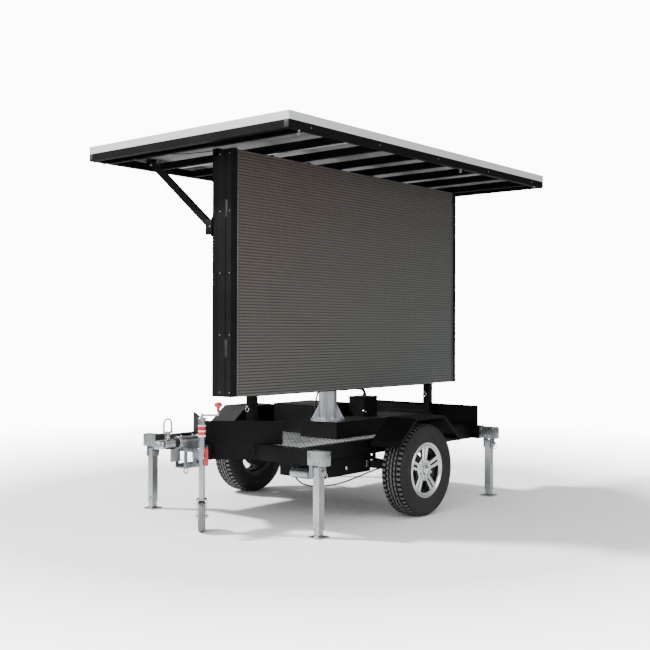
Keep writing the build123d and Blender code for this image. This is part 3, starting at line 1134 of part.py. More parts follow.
def solar_panels():
    """Four panels: edge extrusions, laminate and junction box."""
    pieces = []
    z = (PANEL_BOTTOM, PANEL_TOP)
    laminate_z = (PANEL_TOP - LAMINATE_BELOW_TOP - LAMINATE, PANEL_TOP - LAMINATE_BELOW_TOP)
    foot_z = (PANEL_BOTTOM, PANEL_BOTTOM + PANEL_WALL)
    for n in range(PANEL_COUNT):
        x = (ROOF_X[0] + n * PANEL_PITCH, ROOF_X[0] + (n + 1) * PANEL_PITCH)
        if n > 0:
            x = (x[0] + PANEL_GAP / 2, x[1])
        if n < PANEL_COUNT - 1:
            x = (x[0], x[1] - PANEL_GAP / 2)
        for face, inward in ((ROOF_Y[0], 1), (ROOF_Y[1], -1)):
            bar = block(x, (face, face + inward * PANEL_WALL), z)
            pieces.append(bar + block(x, (face, face + inward * PANEL_FLANGE), foot_z))
        long_y = (ROOF_Y[0] + PANEL_WALL, ROOF_Y[1] - PANEL_WALL)
        foot_y = (ROOF_Y[0] + PANEL_FLANGE, ROOF_Y[1] - PANEL_FLANGE)
        for face, inward in ((x[0], 1), (x[1], -1)):
            bar = block((face, face + inward * PANEL_WALL), long_y, (foot_z[1], z[1]))
            bar += block((face, face + inward * PANEL_WALL), foot_y, z)
            pieces.append(bar + block((face, face + inward * PANEL_FLANGE), foot_y, foot_z))
        sheet_x = (x[0] + PANEL_WALL, x[1] - PANEL_WALL)
        pieces.append(block(sheet_x, long_y, laminate_z))
        middle = (x[0] + x[1]) / 2
        box_x = (middle - JUNCTION_BOX[0] / 2, middle + JUNCTION_BOX[0] / 2)
        box_y = (ROOF_Y[1] - 300, ROOF_Y[1] - 300 + JUNCTION_BOX[1])
        pieces.append(block(box_x, box_y, (laminate_z[0] - JUNCTION_BOX[2], laminate_z[0])))
    return pieces


def roof_braces():
    """One diagonal tube at each end, from the back of the end upright to its roof plate."""
    pieces = []
    half = BRACE_SECTION / 2
    head_z = ROOF_BOTTOM - BRACE_PLATE
    foot = Vector(0, FRAME_BACK_Y, BRACE_FOOT_Z)
    head = Vector(0, BRACE_HEAD_Y, head_z)
    run = (head - foot).normalized()
    slant_z = half / run.Y
    slant_y = half / run.Z
    outline = [
        (FRAME_BACK_Y, BRACE_FOOT_Z - slant_z),
        (BRACE_HEAD_Y + slant_y, head_z),
        (BRACE_HEAD_Y - slant_y, head_z),
        (FRAME_BACK_Y, BRACE_FOOT_Z + slant_z),
    ]
    for end in ENDS.values():
        x = end * END_UPRIGHT_X - half
        pieces.append(prism([(x, y, z) for y, z in outline], (BRACE_SECTION, 0, 0)))
    return pieces


def build():
    """Write every node of the trailer."""
    os.makedirs("parts", exist_ok=True)
    save("chassis_frame", *chassis_frame())
    save("deck_plate", deck_plate())
    save("guard_panels", *guard_panels())
    save("spine_cover", *spine_cover())
    save("fenders", *[fender(side) for side in SIDES.values()])
    save("mast_outer_tube", *mast_outer())
    save("mast_inner_tube", *mast_inner())
    save("axle_beam", *axle_beam())
    for name, side in SIDES.items():
        save("tyre_" + name, tyre(side))
        save("rim_" + name, rim(side))
        save("hub_" + name, *hub(side))
        for end_name, end in ENDS.items():
            corner = end_name + "_" + name
            for kind, solids in zip(("outrigger_arm", "leg_fork", "leg", "foot"), support_leg(end, side)):
                save(kind + "_" + corner, *solids)
    box, door = toolbox()
    save("toolbox", box)
    save("toolbox_door", *door)
    cabinet, cabinet_door, batteries = equipment_cabinet()
    save("equipment_cabinet", cabinet)
    save("equipment_cabinet_door", cabinet_door)
    save("batteries", *batteries)
    save("control_box", *control_box())
    save("hydraulic_motor", *hydraulic_motor())
    save("tail_lamps", *tail_lamps())
    posts, pins = rest_posts()
    save("rest_posts", *posts)
    save("lock_pin_front", pins[0])
    save("lock_pin_rear", pins[1])
    housing, head, handle, bellows = coupling()
    save("overrun_housing", *housing)
    save("coupling_head", head)
    save("coupling_handle", handle)
    save("bellows", bellows)
    for name, solids in jockey().items():
        save(name, *solids)
    save("brake_cable", cord(BRAKE_CABLE_ROUTE, BRAKE_CABLE_RADIUS, "brake cable"))
    mast_conduit = cord(MAST_CONDUIT_ROUTE, CONDUIT_RADIUS, "mast conduit")
    save("conduits", mast_conduit, cord(DECK_CONDUIT_ROUTE, CONDUIT_RADIUS, "deck conduit"))
    cabinet, door = display_cabinet()
    save("display_cabinet", cabinet)
    save("service_door", door)
    save("led_modules", *led_modules())
    save("display_back_frame", *display_back_frame())
    save("roof_frame", *roof_frame())
    save("solar_panels", *solar_panels())
    save("roof_braces", *roof_braces())


if __name__ == "__main__":
    build()
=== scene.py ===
import logging
import math
from collections.abc import Callable, Iterable, Sequence
from dataclasses import dataclass
from enum import Enum
from functools import cached_property

import bmesh
import bpy
from mathutils import Matrix, Quaternion, Vector


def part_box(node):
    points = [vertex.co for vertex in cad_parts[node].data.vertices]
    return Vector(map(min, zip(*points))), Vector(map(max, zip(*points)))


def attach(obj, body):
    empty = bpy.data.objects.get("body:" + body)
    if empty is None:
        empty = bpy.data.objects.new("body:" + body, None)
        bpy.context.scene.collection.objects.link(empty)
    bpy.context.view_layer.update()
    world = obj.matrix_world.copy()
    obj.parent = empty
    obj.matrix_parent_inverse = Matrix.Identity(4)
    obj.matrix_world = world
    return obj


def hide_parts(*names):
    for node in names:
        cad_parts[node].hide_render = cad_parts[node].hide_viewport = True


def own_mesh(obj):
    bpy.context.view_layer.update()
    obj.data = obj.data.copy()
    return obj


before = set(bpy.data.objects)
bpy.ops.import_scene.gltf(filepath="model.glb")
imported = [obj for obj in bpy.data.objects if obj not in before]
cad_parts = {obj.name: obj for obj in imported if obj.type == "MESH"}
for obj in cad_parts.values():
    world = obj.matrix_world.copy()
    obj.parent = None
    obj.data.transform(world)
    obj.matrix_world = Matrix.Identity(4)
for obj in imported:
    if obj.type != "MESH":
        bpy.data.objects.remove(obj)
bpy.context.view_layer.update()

LOG = logging.getLogger("message_trailer")
MM = 0.001
Point = Sequence[float]


class Side(Enum):
    """The two sides of the trailer, by the sign of Y."""

    LEFT = -1
    RIGHT = 1


class End(Enum):
    """The two ends of the trailer, by the sign of X."""

    FRONT = -1
    REAR = 1


def middle_of(node: str) -> Vector:
    """Returns the middle of a CAD node's box, in metres."""
    low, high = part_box(node)
    return (low + high) / 2


def find_datum() -> Vector:
    """Returns the point on the ground under the middle of the axle, in metres."""
    left, right = middle_of("tyre_left"), middle_of("tyre_right")
    return Vector(((left.x + right.x) / 2, (left.y + right.y) / 2, 0.0))


DATUM = find_datum()


def at(x: float, y: float, z: float) -> Vector:
    """Turns millimetres from the ground under the axle into the frame's metres."""
    return DATUM + Vector((x, y, z)) * MM


# ---------------------------------------------------------------- materials


def srgb(code: str) -> tuple[float, float, float, float]:
    """Turns an sRGB hex code into linear colour.

    Args:
        code: six hex digits, with or without a leading hash.

    Returns:
        Red, green, blue and an alpha of 1.
    """
    digits = code.lstrip("#")
    parts = [int(digits[i:i + 2], 16) / 255 for i in (0, 2, 4)]
    linear = [c / 12.92 if c <= 0.04045 else ((c + 0.055) / 1.055) ** 2.4 for c in parts]
    return (linear[0], linear[1], linear[2], 1.0)


def add_node(tree: bpy.types.NodeTree, kind: str, links: dict | None = None, **settings) -> bpy.types.Node:
    """Adds one shader node with its settings and links.

    Args:
        tree: the material's node tree.
        kind: the node's type name, without its ShaderNode prefix.
        links: for each input's name or number, a value or another node's output.
        **settings: the node's own properties.

    Returns:
        The new node.
    """
    node = tree.nodes.new("ShaderNode" + kind)
    for name, value in settings.items():
        setattr(node, name, value)
    for key, value in (links or {}).items():
        if isinstance(value, bpy.types.NodeSocket):
            tree.links.new(value, node.inputs[key])
        else:
            node.inputs[key].default_value = value
    return node


def blend_colours(
    tree: bpy.types.NodeTree, factor: bpy.types.NodeSocket, low: object, high: object,
) -> bpy.types.NodeSocket:
    """Returns a colour that goes from low to high with the factor."""
    mix = add_node(tree, "Mix", {0: factor, 6: low, 7: high}, data_type="RGBA")
    return mix.outputs[2]


def ranged(
    tree: bpy.types.NodeTree, value: bpy.types.NodeSocket, low: float, high: float, to_low: float,
    to_high: float,
) -> bpy.types.NodeSocket:
    """Returns a value mapped from one range to another, and clamped there."""
    node = add_node(tree, "MapRange", {0: value, 1: low, 2: high, 3: to_low, 4: to_high})
    return node.outputs[0]


@dataclass(frozen=True)
class Finish:
    """A surface with its colour, gloss and fine relief.

    Attributes:
        name: the real material and how it was made.
        slot: the record's material slot that it belongs to.
        colour: sRGB hex.
        roughness: middle value of the roughness.
        metallic: 1 for bare metal, 0 for paint and plastic.
        grain_mm: size of the surface's grain.
        relief_mm: height of that grain.
        mottle: how far the colour and gloss vary over the piece.
        soiling: sRGB hex of the dust or oxide in the variation.
        specular: the specular level, lower on a coat that takes little shine.
        coat: the weight of a clear lacquer over it.
    """

    name: str
    slot: str
    colour: str
    roughness: float = 0.5
    metallic: float = 0.0
    grain_mm: float = 3.0
    relief_mm: float = 0.1
    mottle: float = 0.25
    soiling: str = "5a5650"
    specular: float = 0.5
    coat: float = 0.0

    def material(self) -> bpy.types.Material:
        """Returns the finish's material, made once.

        Returns:
            The material.
        """
        made = bpy.data.materials.get(self.name)
        if made is None:
            made = self.make()
        return made

    def make(self) -> bpy.types.Material:
        """Makes the material with its shader and pattern.

        Returns:
            The material.
        """
        material = bpy.data.materials.new(self.name)
        material.use_nodes = True
        tree = material.node_tree
        tree.nodes.clear()
        shader = add_node(
            tree,
            "BsdfPrincipled",
            {"Metallic": self.metallic, "Specular IOR Level": self.specular, "Coat Weight": self.coat},
        )
        place = add_node(tree, "TexCoord").outputs["Object"]
        colour, roughness, height = self.pattern(tree, place)
        tree.links.new(colour, shader.inputs["Base Color"])
        tree.links.new(roughness, shader.inputs["Roughness"])
        bump = add_node(tree, "Bump", {"Height": height, "Distance": self.relief_mm * MM, "Strength": 1.0})
        tree.links.new(bump.outputs[0], shader.inputs["Normal"])
        add_node(tree, "OutputMaterial", {0: shader.outputs[0]})
        material.diffuse_color = srgb(self.colour)
        return material

    def noise(
        self, tree: bpy.types.NodeTree, place: bpy.types.NodeSocket, size_mm: float, detail: float = 3.0,
        stretch: Point = (1, 1, 1),
    ) -> bpy.types.NodeSocket:
        """Returns noise with features of about the given size, stretched along an axis by a small factor.

        Args:
            tree: the material's node tree.
            place: the coordinates that the pattern follows.
            size_mm: the size of the features.
            detail: how many finer layers are added.
            stretch: the scale along each axis.

        Returns:
            The noise's socket.
        """
        mapped = add_node(tree, "Mapping", {0: place, "Scale": stretch}).outputs[0]
        node = add_node(tree, "TexNoise", {"Vector": mapped, "Scale": 1000 / size_mm, "Detail": detail})
        return node.outputs[0]

    def pattern(self, tree: bpy.types.NodeTree, place: bpy.types.NodeSocket) -> tuple:
        """Returns the colour, roughness and height of the surface.

        Args:
            tree: the material's node tree.
            place: the coordinates that the pattern follows.

        Returns:
            The sockets of the colour, the roughness and the height.
        """
        clouds = self.noise(tree, place, 260, 5)
        specks = self.noise(tree, place, self.grain_mm, 2)
        patch = ranged(tree, clouds, 0.42, 0.68, 0.0, self.mottle)
        colour = blend_colours(tree, patch, srgb(self.colour), srgb(self.soiling))
        roughness = ranged(tree, clouds, 0.3, 0.7, self.roughness - 0.06, self.roughness + 0.1)
        return colour, roughness, specks


@dataclass(frozen=True)
class Spangled(Finish):
    """Hot-dip galvanised steel: crystals of zinc, each with its own brightness."""

    spangle_mm: float = 11.0

    def pattern(self, tree: bpy.types.NodeTree, place: bpy.types.NodeSocket) -> tuple:
        """Returns the colour, roughness and height of the zinc crystals.

        Args:
            tree: the material's node tree.
            place: the coordinates that the pattern follows.

        Returns:
            The sockets of the colour, the roughness and the height.
        """
        cells = add_node(tree, "TexVoronoi", {"Vector": place, "Scale": 1000 / self.spangle_mm})
        shade = add_node(tree, "SeparateColor", {0: cells.outputs["Color"]}).outputs[0]
        clouds = self.noise(tree, place, 140, 4)
        crystal = ranged(tree, shade, 0.0, 1.0, 0.0, self.mottle)
        zinc = blend_colours(tree, crystal, srgb(self.colour), srgb(self.soiling))
        stain = ranged(tree, clouds, 0.55, 0.75, 0.0, self.mottle)
        colour = blend_colours(tree, stain, zinc, srgb(self.soiling))
        roughness = ranged(tree, shade, 0.0, 1.0, self.roughness - 0.08, self.roughness + 0.1)
        return colour, roughness, cells.outputs["Distance"]


@dataclass(frozen=True)
class Brushed(Finish):
    """Metal drawn or brushed along one axis, so its scratches run one way."""

    stretch: tuple = (1.0, 1.0, 0.02)

    def pattern(self, tree: bpy.types.NodeTree, place: bpy.types.NodeSocket) -> tuple:
        """Returns the colour, roughness and height of the long scratches.

        Args:
            tree: the material's node tree.
            place: the coordinates that the pattern follows.

        Returns:
            The sockets of the colour, the roughness and the height.
        """
        lines = self.noise(tree, place, self.grain_mm, 4, self.stretch)
        clouds = self.noise(tree, place, 180, 4)
        patch = ranged(tree, clouds, 0.4, 0.7, 0.0, self.mottle)
        colour = blend_colours(tree, patch, srgb(self.colour), srgb(self.soiling))
        roughness = ranged(tree, lines, 0.3, 0.7, self.roughness - 0.1, self.roughness + 0.1)
        return colour, roughness, lines


@dataclass(frozen=True)
class LouvredMask(Finish):
    """Glass-filled nylon mask of the display modules: matt, with a lamp in each cell of a square grid, and
    a painted sheen that makes it paler and greyer towards its rear end and its bottom.
    """

    pitch_mm: float = 20.0
    # Painted sheen: the paler, greyer colour that the mask shifts to towards its rear end and its bottom.
    painted_sheen_colour: str = "525856"
    lamp_colour: str = "7c756e"

    def pattern(self, tree: bpy.types.NodeTree, place: bpy.types.NodeSocket) -> tuple:
        """Returns the colour, roughness and height of the lamps in their mask.

        Args:
            tree: the material's node tree.
            place: the coordinates that the pattern follows.

        Returns:
            The sockets of the colour, the roughness and the height.
        """
        low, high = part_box("led_modules")
        parts = add_node(tree, "SeparateXYZ", {0: place}).outputs
        # Painted sheen: the colour moves towards the sheen colour along X and down the face.
        along = ranged(tree, parts["X"], low.x, high.x, 0.0, 0.6)
        down = ranged(tree, parts["Z"], high.z, low.z, 0.0, 0.6)
        sheen_slant = add_node(tree, "Math", {0: along, 1: down}, operation="ADD").outputs[0]
        mask = blend_colours(tree, sheen_slant, srgb(self.colour), srgb(self.painted_sheen_colour))
        steps = []
        for axis, start in (("X", low.x), ("Z", low.z)):
            shifted = add_node(tree, "Math", {0: parts[axis], 1: start}, operation="SUBTRACT").outputs[0]
            cell = add_node(
                tree, "Math", {0: shifted, 1: self.pitch_mm * MM}, operation="DIVIDE",
            ).outputs[0]
            whole = add_node(tree, "Math", {0: cell}, operation="FRACT").outputs[0]
            offset = add_node(tree, "Math", {0: whole, 1: 0.5}, operation="SUBTRACT").outputs[0]
            steps.append(add_node(tree, "Math", {0: offset, 1: offset}, operation="MULTIPLY").outputs[0])
        far = add_node(tree, "Math", {0: steps[0], 1: steps[1]}, operation="ADD").outputs[0]
        lamp = ranged(tree, far, 0.06, 0.035, 0.0, 0.6)
        colour = blend_colours(tree, lamp, mask, srgb(self.lamp_colour))
        clouds = self.noise(tree, place, 320, 3)
        roughness = ranged(tree, clouds, 0.3, 0.7, self.roughness - 0.05, self.roughness + 0.1)
        return colour, roughness, lamp


@dataclass(frozen=True)
class SolarCells(Finish):
    """Monocrystalline silicon cells under glass: near-black blue squares with silver fingers."""

    cell_mm: float = 156.0
    line_colour: str = "9aa0a6"

    def pattern(self, tree: bpy.types.NodeTree, place: bpy.types.NodeSocket) -> tuple:
        """Returns the colour, roughness and height of the cells and their busbars.

        Args:
            tree: the material's node tree.
            place: the coordinates that the pattern follows.

        Returns:
            The sockets of the colour, the roughness and the height.
        """
        low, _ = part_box("solar_panels")
        parts = add_node(tree, "SeparateXYZ", {0: place}).outputs
        lines = []
        for axis, start, pitch, width in (
            ("X", low.x + 0.003, self.cell_mm, 0.03),
            ("Y", low.y + 0.003, self.cell_mm, 0.03),
            ("X", low.x + 0.003, self.cell_mm / 4, 0.035),
        ):
            shifted = add_node(tree, "Math", {0: parts[axis], 1: start}, operation="SUBTRACT").outputs[0]
            cell = add_node(tree, "Math", {0: shifted, 1: pitch * MM}, operation="DIVIDE").outputs[0]
            near = add_node(tree, "Math", {0: cell, 1: 0.5}, operation="PINGPONG").outputs[0]
            lines.append(ranged(tree, near, width / 2, width / 2 - 0.008, 0.0, 1.0))
        most = add_node(tree, "Math", {0: lines[0], 1: lines[1]}, operation="MAXIMUM").outputs[0]
        fine = add_node(tree, "Math", {0: lines[2], 1: 0.45}, operation="MULTIPLY").outputs[0]
        every = add_node(tree, "Math", {0: most, 1: fine}, operation="MAXIMUM").outputs[0]
        clouds = self.noise(tree, place, 420, 4)
        tint = blend_colours(
            tree, ranged(tree, clouds, 0.35, 0.65, 0.0, 1.0), srgb(self.colour), srgb(self.soiling),
        )
        colour = blend_colours(tree, every, tint, srgb(self.line_colour))
        roughness = ranged(tree, clouds, 0.3, 0.7, self.roughness, self.roughness + 0.12)
        return colour, roughness, every


# Polyester powder coat on welded steel: deep satin black with a slight orange peel. The peel is about
# 2 mm across on the real coat and is drawn at 6 mm, so that it shows.
FRAME_BLACK = Finish(
    "powder_coat_satin_black", "frame_black", "030304", 0.46, 0.0, 6.0, 0.12, 0.1, "121111", 0.13,
)
# The same coat on folded sheet, a touch more open and dusty on its large faces.
PANEL_BLACK = Finish(
    "powder_coat_sheet_black", "panel_black", "040405", 0.5, 0.0, 7.0, 0.12, 0.12, "151413", 0.12,
)
# Darker coat of the display's sheet cabinet, smooth enough for a soft sheen.
CABINET_BLACK = Finish(
    "powder_coat_cabinet_graphite", "cabinet_grey", "060608", 0.45, 0.0, 6.0, 0.1, 0.15, "151517", 0.16,
)
# Hot-dip galvanised steel: pale grey zinc with crystals of 8 to 14 mm and a dull bloom.
GALVANISED = Spangled(
    "hot_dip_galvanised_steel", "galvanised", "a3a7a9", 0.32, 1.0, 3.0, 0.05, 0.3, "8d9193",
)
# Zinc-plated steel tube of the legs and the jockey: smooth, with draw lines down the tube.
LEG_ZINC = Brushed("zinc_plated_drawn_tube", "galvanised", "a9adb1", 0.26, 1.0, 3.0, 0.03, 0.4, "6e7276")
# Bright zinc plate on pressed steel and castings: smoother than dipping, slightly bluish.
ZINC = Finish("bright_zinc_plate", "zinc_casting", "b4b9bd", 0.28, 1.0, 4.0, 0.06, 0.4, "686e72")
# Satin lacquer over brushed steel tube: scratches run down the tube and stretch the highlights.
MAST_SILVER = Brushed(
    "satin_brushed_steel_tube", "mast_silver", "cdd1d6", 0.34, 0.9, 2.0, 0.03, 0.3, "8d939a",
)
# Natural rubber with carbon black, moulded: nearly black, matt, greyer where it is scuffed and dusty.
TYRE = Finish("moulded_tyre_rubber", "tyre_rubber", "19191a", 0.72, 0.0, 4.0, 0.25, 0.3, "373634", 0.3)
# The tread blocks run on the road, so dust makes them paler than the walls.
TREAD = Finish("worn_tread_rubber", "tyre_rubber", "585857", 0.8, 0.0, 5.0, 0.25, 0.35, "757471", 0.25)
# Painted shade: the floors of the grooves are drawn darker than the walls, for the shade in the recesses.
GROOVE_SHADE = Finish("moulded_groove_rubber", "tyre_rubber", "0c0c0c", 0.8, 0.0, 5.0, 0.1, 0.1, "1c1b1a", 0.15)
# A356 aluminium, die cast and lacquered silver: bright, with a soft sparkle of casting grain.
ALLOY = Finish(
    "lacquered_cast_aluminium", "alloy", "dcdfe2", 0.2, 0.95, 3.0, 0.04, 0.25, "a2a5a8", 0.5, 0.4,
)
# The inner barrel of the rim gets road film, and it is also drawn darker than the face with painted shade
# for the inside of the wheel.
BARREL_FILM_AND_SHADE = Finish("cast_aluminium_road_film", "alloy", "3e3f41", 0.5, 0.85, 4.0, 0.08, 0.5, "1e1d1c")
# Chromed brass caps and plated nuts: the sharpest highlights on the trailer.
CHROME = Finish("chrome_plate", "hub_steel", "e2e4e6", 0.1, 1.0, 5.0, 0.01, 0.08, "a9acb0")
# Bright drawn steel of the lock pins.
PIN_STEEL = Finish("bright_drawn_steel", "bright_pin", "cfd2d4", 0.22, 1.0, 4.0, 0.02, 0.2, "8d9094")
# Grey iron drum, turned, with a brown bloom of rust.
DRUM_IRON = Finish("turned_grey_iron", "hub_steel", "56524e", 0.6, 0.75, 3.0, 0.12, 0.55, "4b2f22")
# Solid grey rubber of the jockey roller, scuffed by the ground.
ROLLER = Finish("solid_grey_rubber", "jockey_tyre", "6c6c6c", 0.7, 0.0, 4.0, 0.15, 0.4, "8b8883", 0.35)
# Gloss enamel on small parts: thick, glossy, clean red.
RED = Finish("gloss_enamel_red", "red_paint", "c3182c", 0.28, 0.0, 6.0, 0.04, 0.15, "7d1220", 0.5, 0.5)
# Warning bands in gloss enamel, and a plain white one between.
WHITE = Finish("gloss_enamel_white", "galvanised", "e9e9e6", 0.35, 0.0, 6.0, 0.03, 0.1, "bcb9b2")
# Phenolic knob: deep gloss red with moulding flow.
KNOB = Finish("moulded_phenolic_red", "red_paint", "b51a2b", 0.22, 0.0, 7.0, 0.03, 0.1, "7d1220", 0.5, 0.6)
# EPDM rubber of the bellows and grommets: dull black.
EPDM = Finish("moulded_epdm_rubber", "bellows_rubber", "141414", 0.68, 0.0, 4.0, 0.12, 0.25, "33312e", 0.35)
# Soft PVC sheath of the brake cable and hoses.
PVC = Finish("extruded_soft_pvc", "cord_black", "17181a", 0.5, 0.0, 5.0, 0.05, 0.2, "3a3a3a", 0.4)
# Polyamide conduit, ribbed, dark grey.
CONDUIT = Finish(
    "extruded_polyamide_conduit", "cord_black", "1c1d1f", 0.55, 0.0, 5.0, 0.06, 0.2, "3c3c3c", 0.4,
)
# Polypropylene battery case: dark grey, sparked finish.
BATTERY = Finish("moulded_polypropylene", "battery_case", "2a2b2d", 0.62, 0.0, 3.0, 0.15, 0.2, "4a4b4d")
# Acrylic tail-lamp lens: clear red with deep gloss.
LENS_RED = Finish(
    "moulded_acrylic_red", "lamp_red", "8c0710", 0.14, 0.0, 6.0, 0.02, 0.1, "5d0409", 0.5, 0.6,
)
# Acrylic lens of the turn lamp: amber.
LENS_AMBER = Finish(
    "moulded_acrylic_amber", "lamp_red", "c0640a", 0.16, 0.0, 6.0, 0.02, 0.1, "8a4505", 0.5, 0.6,
)
# Anodised aluminium panel frame: matt silver-white, drawn along its length.
PANEL_FRAME = Brushed(
    "anodised_aluminium_extrusion", "solar", "e4e7e8", 0.42, 0.35, 4.0, 0.02, 0.15, "c3c7c9", 0.5, 0.0,
    (0.03, 0.03, 1.0),
)
# White polyvinyl fluoride backsheet in the shade of the panels: it reads mid grey.
BACKSHEET = Finish("laminated_backsheet", "solar", "8f9193", 0.42, 0.0, 8.0, 0.05, 0.5, "5f6163", 0.5)
# ABS junction boxes with a matt skin.
JUNCTION = Finish("moulded_abs_black", "solar", "161718", 0.55, 0.0, 4.0, 0.1, 0.2, "35363a")
CELLS = SolarCells("glazed_silicon_cells", "solar", "0b1020", 0.12, 0.0, 6.0, 0.02, 1.0, "101a33", 0.5, 0.3)
LED_MASK = LouvredMask(
    "moulded_nylon_led_mask", "led_face", "544943", 0.62, 0.0, 4.0, 0.4, 0.2, "2d2a28", 0.35,
)
# Painted shade: the louvres are the mask's own nylon, drawn darker for the shade under each one.
LOUVRE_SHADE = Finish("moulded_nylon_louvre", "led_face", "2a2624", 0.62, 0.0, 4.0, 0.08, 0.3, "3c3c3b", 0.3)
# Bright edge of the cabinet's trim: clear anodised aluminium, a thin line of light.
PIN_TRIM = Finish("clear_anodised_trim", "cabinet_grey", "6f7276", 0.35, 0.9, 4.0, 0.02, 0.2, "4a4d50")
# Rolled aluminium tread plate, between its raised lugs: scuffed and dull.
TREAD_GROUND = Brushed(
    "rolled_aluminium_plate", "tread_plate", "6b6d70", 0.45, 0.9, 3.0, 0.05, 0.6, "2d2c2b", 0.5, 0.0,
    (0.05, 1.0, 1.0),
)
# The tops of the lugs are polished by feet.
TREAD_LUG = Finish("polished_aluminium_lugs", "tread_plate", "e6e8ea", 0.25, 0.95, 3.0, 0.03, 0.2, "a4a6a8")


# ------------------------------------------------------------------ meshing


class Mesher:
    """Collects the faces of one piece, each group in its own finish."""

    def __init__(self) -> None:
        """Starts an empty piece."""
        self.bm = bmesh.new()
        self.finishes: list[Finish] = []

    def paint(self, faces: Iterable[bmesh.types.BMFace], finish: Finish) -> None:
        """Gives the faces a finish.

        Args:
            faces: the faces to paint.
            finish: its finish.
        """
        if finish not in self.finishes:
            self.finishes.append(finish)
        index = self.finishes.index(finish)
        for face in faces:
            face.material_index = index

    def hull(
        self, rings: Sequence[Sequence[Vector]], finish: Finish, caps: bool = True, closed: bool = False,
    ) -> list[bmesh.types.BMFace]:
        """Joins rings of points, each with as many, into a skin.

        Args:
            rings: the rings in order, each a closed loop of points in metres.
            finish: the skin's finish.
            caps: close the first and last ring with a face.
            closed: join the last ring to the first.

        Returns:
            The faces.
        """
        made = [[self.bm.verts.new(point) for point in ring] for ring in rings]
        faces = []
        pairs = list(zip(made, made[1:] + made[:1] if closed else made[1:]))
        count = len(made[0])
        for low, high in pairs:
            for i in range(count):
                j = (i + 1) % count
                faces.append(self.bm.faces.new((low[i], low[j], high[j], high[i])))
        if caps and not closed:
            faces.append(self.bm.faces.new(list(reversed(made[0]))))
            faces.append(self.bm.faces.new(made[-1]))
        self.paint(faces, finish)
        return faces

    def slab(
        self, low: Vector, high: Vector, finish: Finish, ease: float = 1.0, turn: Matrix | None = None,
    ) -> None:
        """Adds a block with eased edges.

        Args:
            low: its lowest corner, in metres.
            high: its highest corner, in metres.
            finish: its finish.
            ease: the edge radius in millimetres.
            turn: a matrix that moves the block from its place.
        """
        corners = [sorted(pair) for pair in zip(low, high)]
        (x0, x1), (y0, y1), (z0, z1) = corners
        ring = [(x0, y0), (x1, y0), (x1, y1), (x0, y1)]
        rings = [[Vector((x, y, z)) for x, y in ring] for z in (z0, z1)]
        if turn is not None:
            rings = [[turn @ point for point in ring] for ring in rings]
        faces = self.hull(rings, finish)
        limit = min(x1 - x0, y1 - y0, z1 - z0) * 0.45
        if ease > 0:
            edges = list({edge for face in faces for edge in face.edges})
            done = bmesh.ops.bevel(
                self.bm, geom=edges, offset=min(ease * MM, limit), segments=2, profile=0.5, affect="EDGES"
            )
            self.paint(done["faces"], finish)

    def turned(
        self, profile: Sequence[tuple[float, float]], base: Vector, axis: Point, finish: Finish,
        segments: int = 40, closed: bool = False,
    ) -> list[bmesh.types.BMFace]:
        """Turns a profile about an axis.

        Args:
            profile: (distance along the axis, radius) in millimetres, from one end to the other.
            base: where the axis starts, in metres.
            axis: the axis direction.
            finish: the finish.
            segments: how many sides the round has.
            closed: the profile is a loop, as for a ring.

        Returns:
            The faces.
        """
        way = Vector(axis).normalized()
        across = way.orthogonal().normalized()
        other = way.cross(across)
        rings = []
        for reach, radius in profile:
            ring = []
            for n in range(segments):
                turn = 2 * math.pi * n / segments
                spoke = across * math.cos(turn) + other * math.sin(turn)
                ring.append(base + way * reach * MM + spoke * max(radius, 0.05) * MM)
            rings.append(ring)
        return self.hull(rings, finish, caps=not closed, closed=closed)

    def bar(
        self, start: Vector, end: Vector, radius: float, finish: Finish, ease: float = 1.0,
        segments: int = 24,
    ) -> None:
        """Adds a round bar with eased ends, radius and ease in millimetres.

        Args:
            start: where it starts, in metres.
            end: where it ends, in metres.
            radius: the radius in millimetres.
            finish: its finish.
            ease: the edge radius in millimetres.
            segments: how many sides the round has.
        """
        run = end - start
        length = run.length / MM
        ease = min(ease, radius * 0.8, length * 0.4)
        profile = [(0, radius - ease), (ease * 0.3, radius - ease * 0.3), (ease, radius)]
        profile += [(length - reach, size) for reach, size in reversed(profile)]
        self.turned(profile, start, run, finish, segments)

    def bolt(
        self, seat: Vector, axis: Point, across: float, height: float, finish: Finish, washer: bool = True,
    ) -> None:
        """Adds a hexagon head on its washer, sizes in millimetres.

        Args:
            seat: the middle of the seat, in metres.
            axis: the direction of its axis.
            across: its width across the flats, in millimetres.
            height: its height in millimetres.
            finish: its finish.
            washer: whether a washer lies under it.
        """
        way = Vector(axis).normalized()
        radius = across / math.sqrt(3)
        if washer:
            self.turned(
                [(0, across * 0.72), (1.2, across * 0.72), (1.6, across * 0.68)], seat, way, finish, 24,
            )
        profile = [(1, radius), (height * 0.8, radius), (height, radius * 0.86)]
        self.turned(profile, seat, way, finish, 6)

    def outline(self, points: Sequence[Vector], reach: Vector, finish: Finish, ease: float = 0.0) -> None:
        """Pushes a flat outline along a vector, with eased edges in millimetres.

        Args:
            points: the outline's corners, in metres.
            reach: how far it is pushed, in metres.
            finish: its finish.
            ease: the edge radius in millimetres.
        """
        faces = self.hull([list(points), [point + reach for point in points]], finish)
        if ease > 0:
            edges = list({edge for face in faces for edge in face.edges})
            done = bmesh.ops.bevel(
                self.bm, geom=edges, offset=ease * MM, segments=2, profile=0.5, affect="EDGES",
            )
            self.paint(done["faces"], finish)

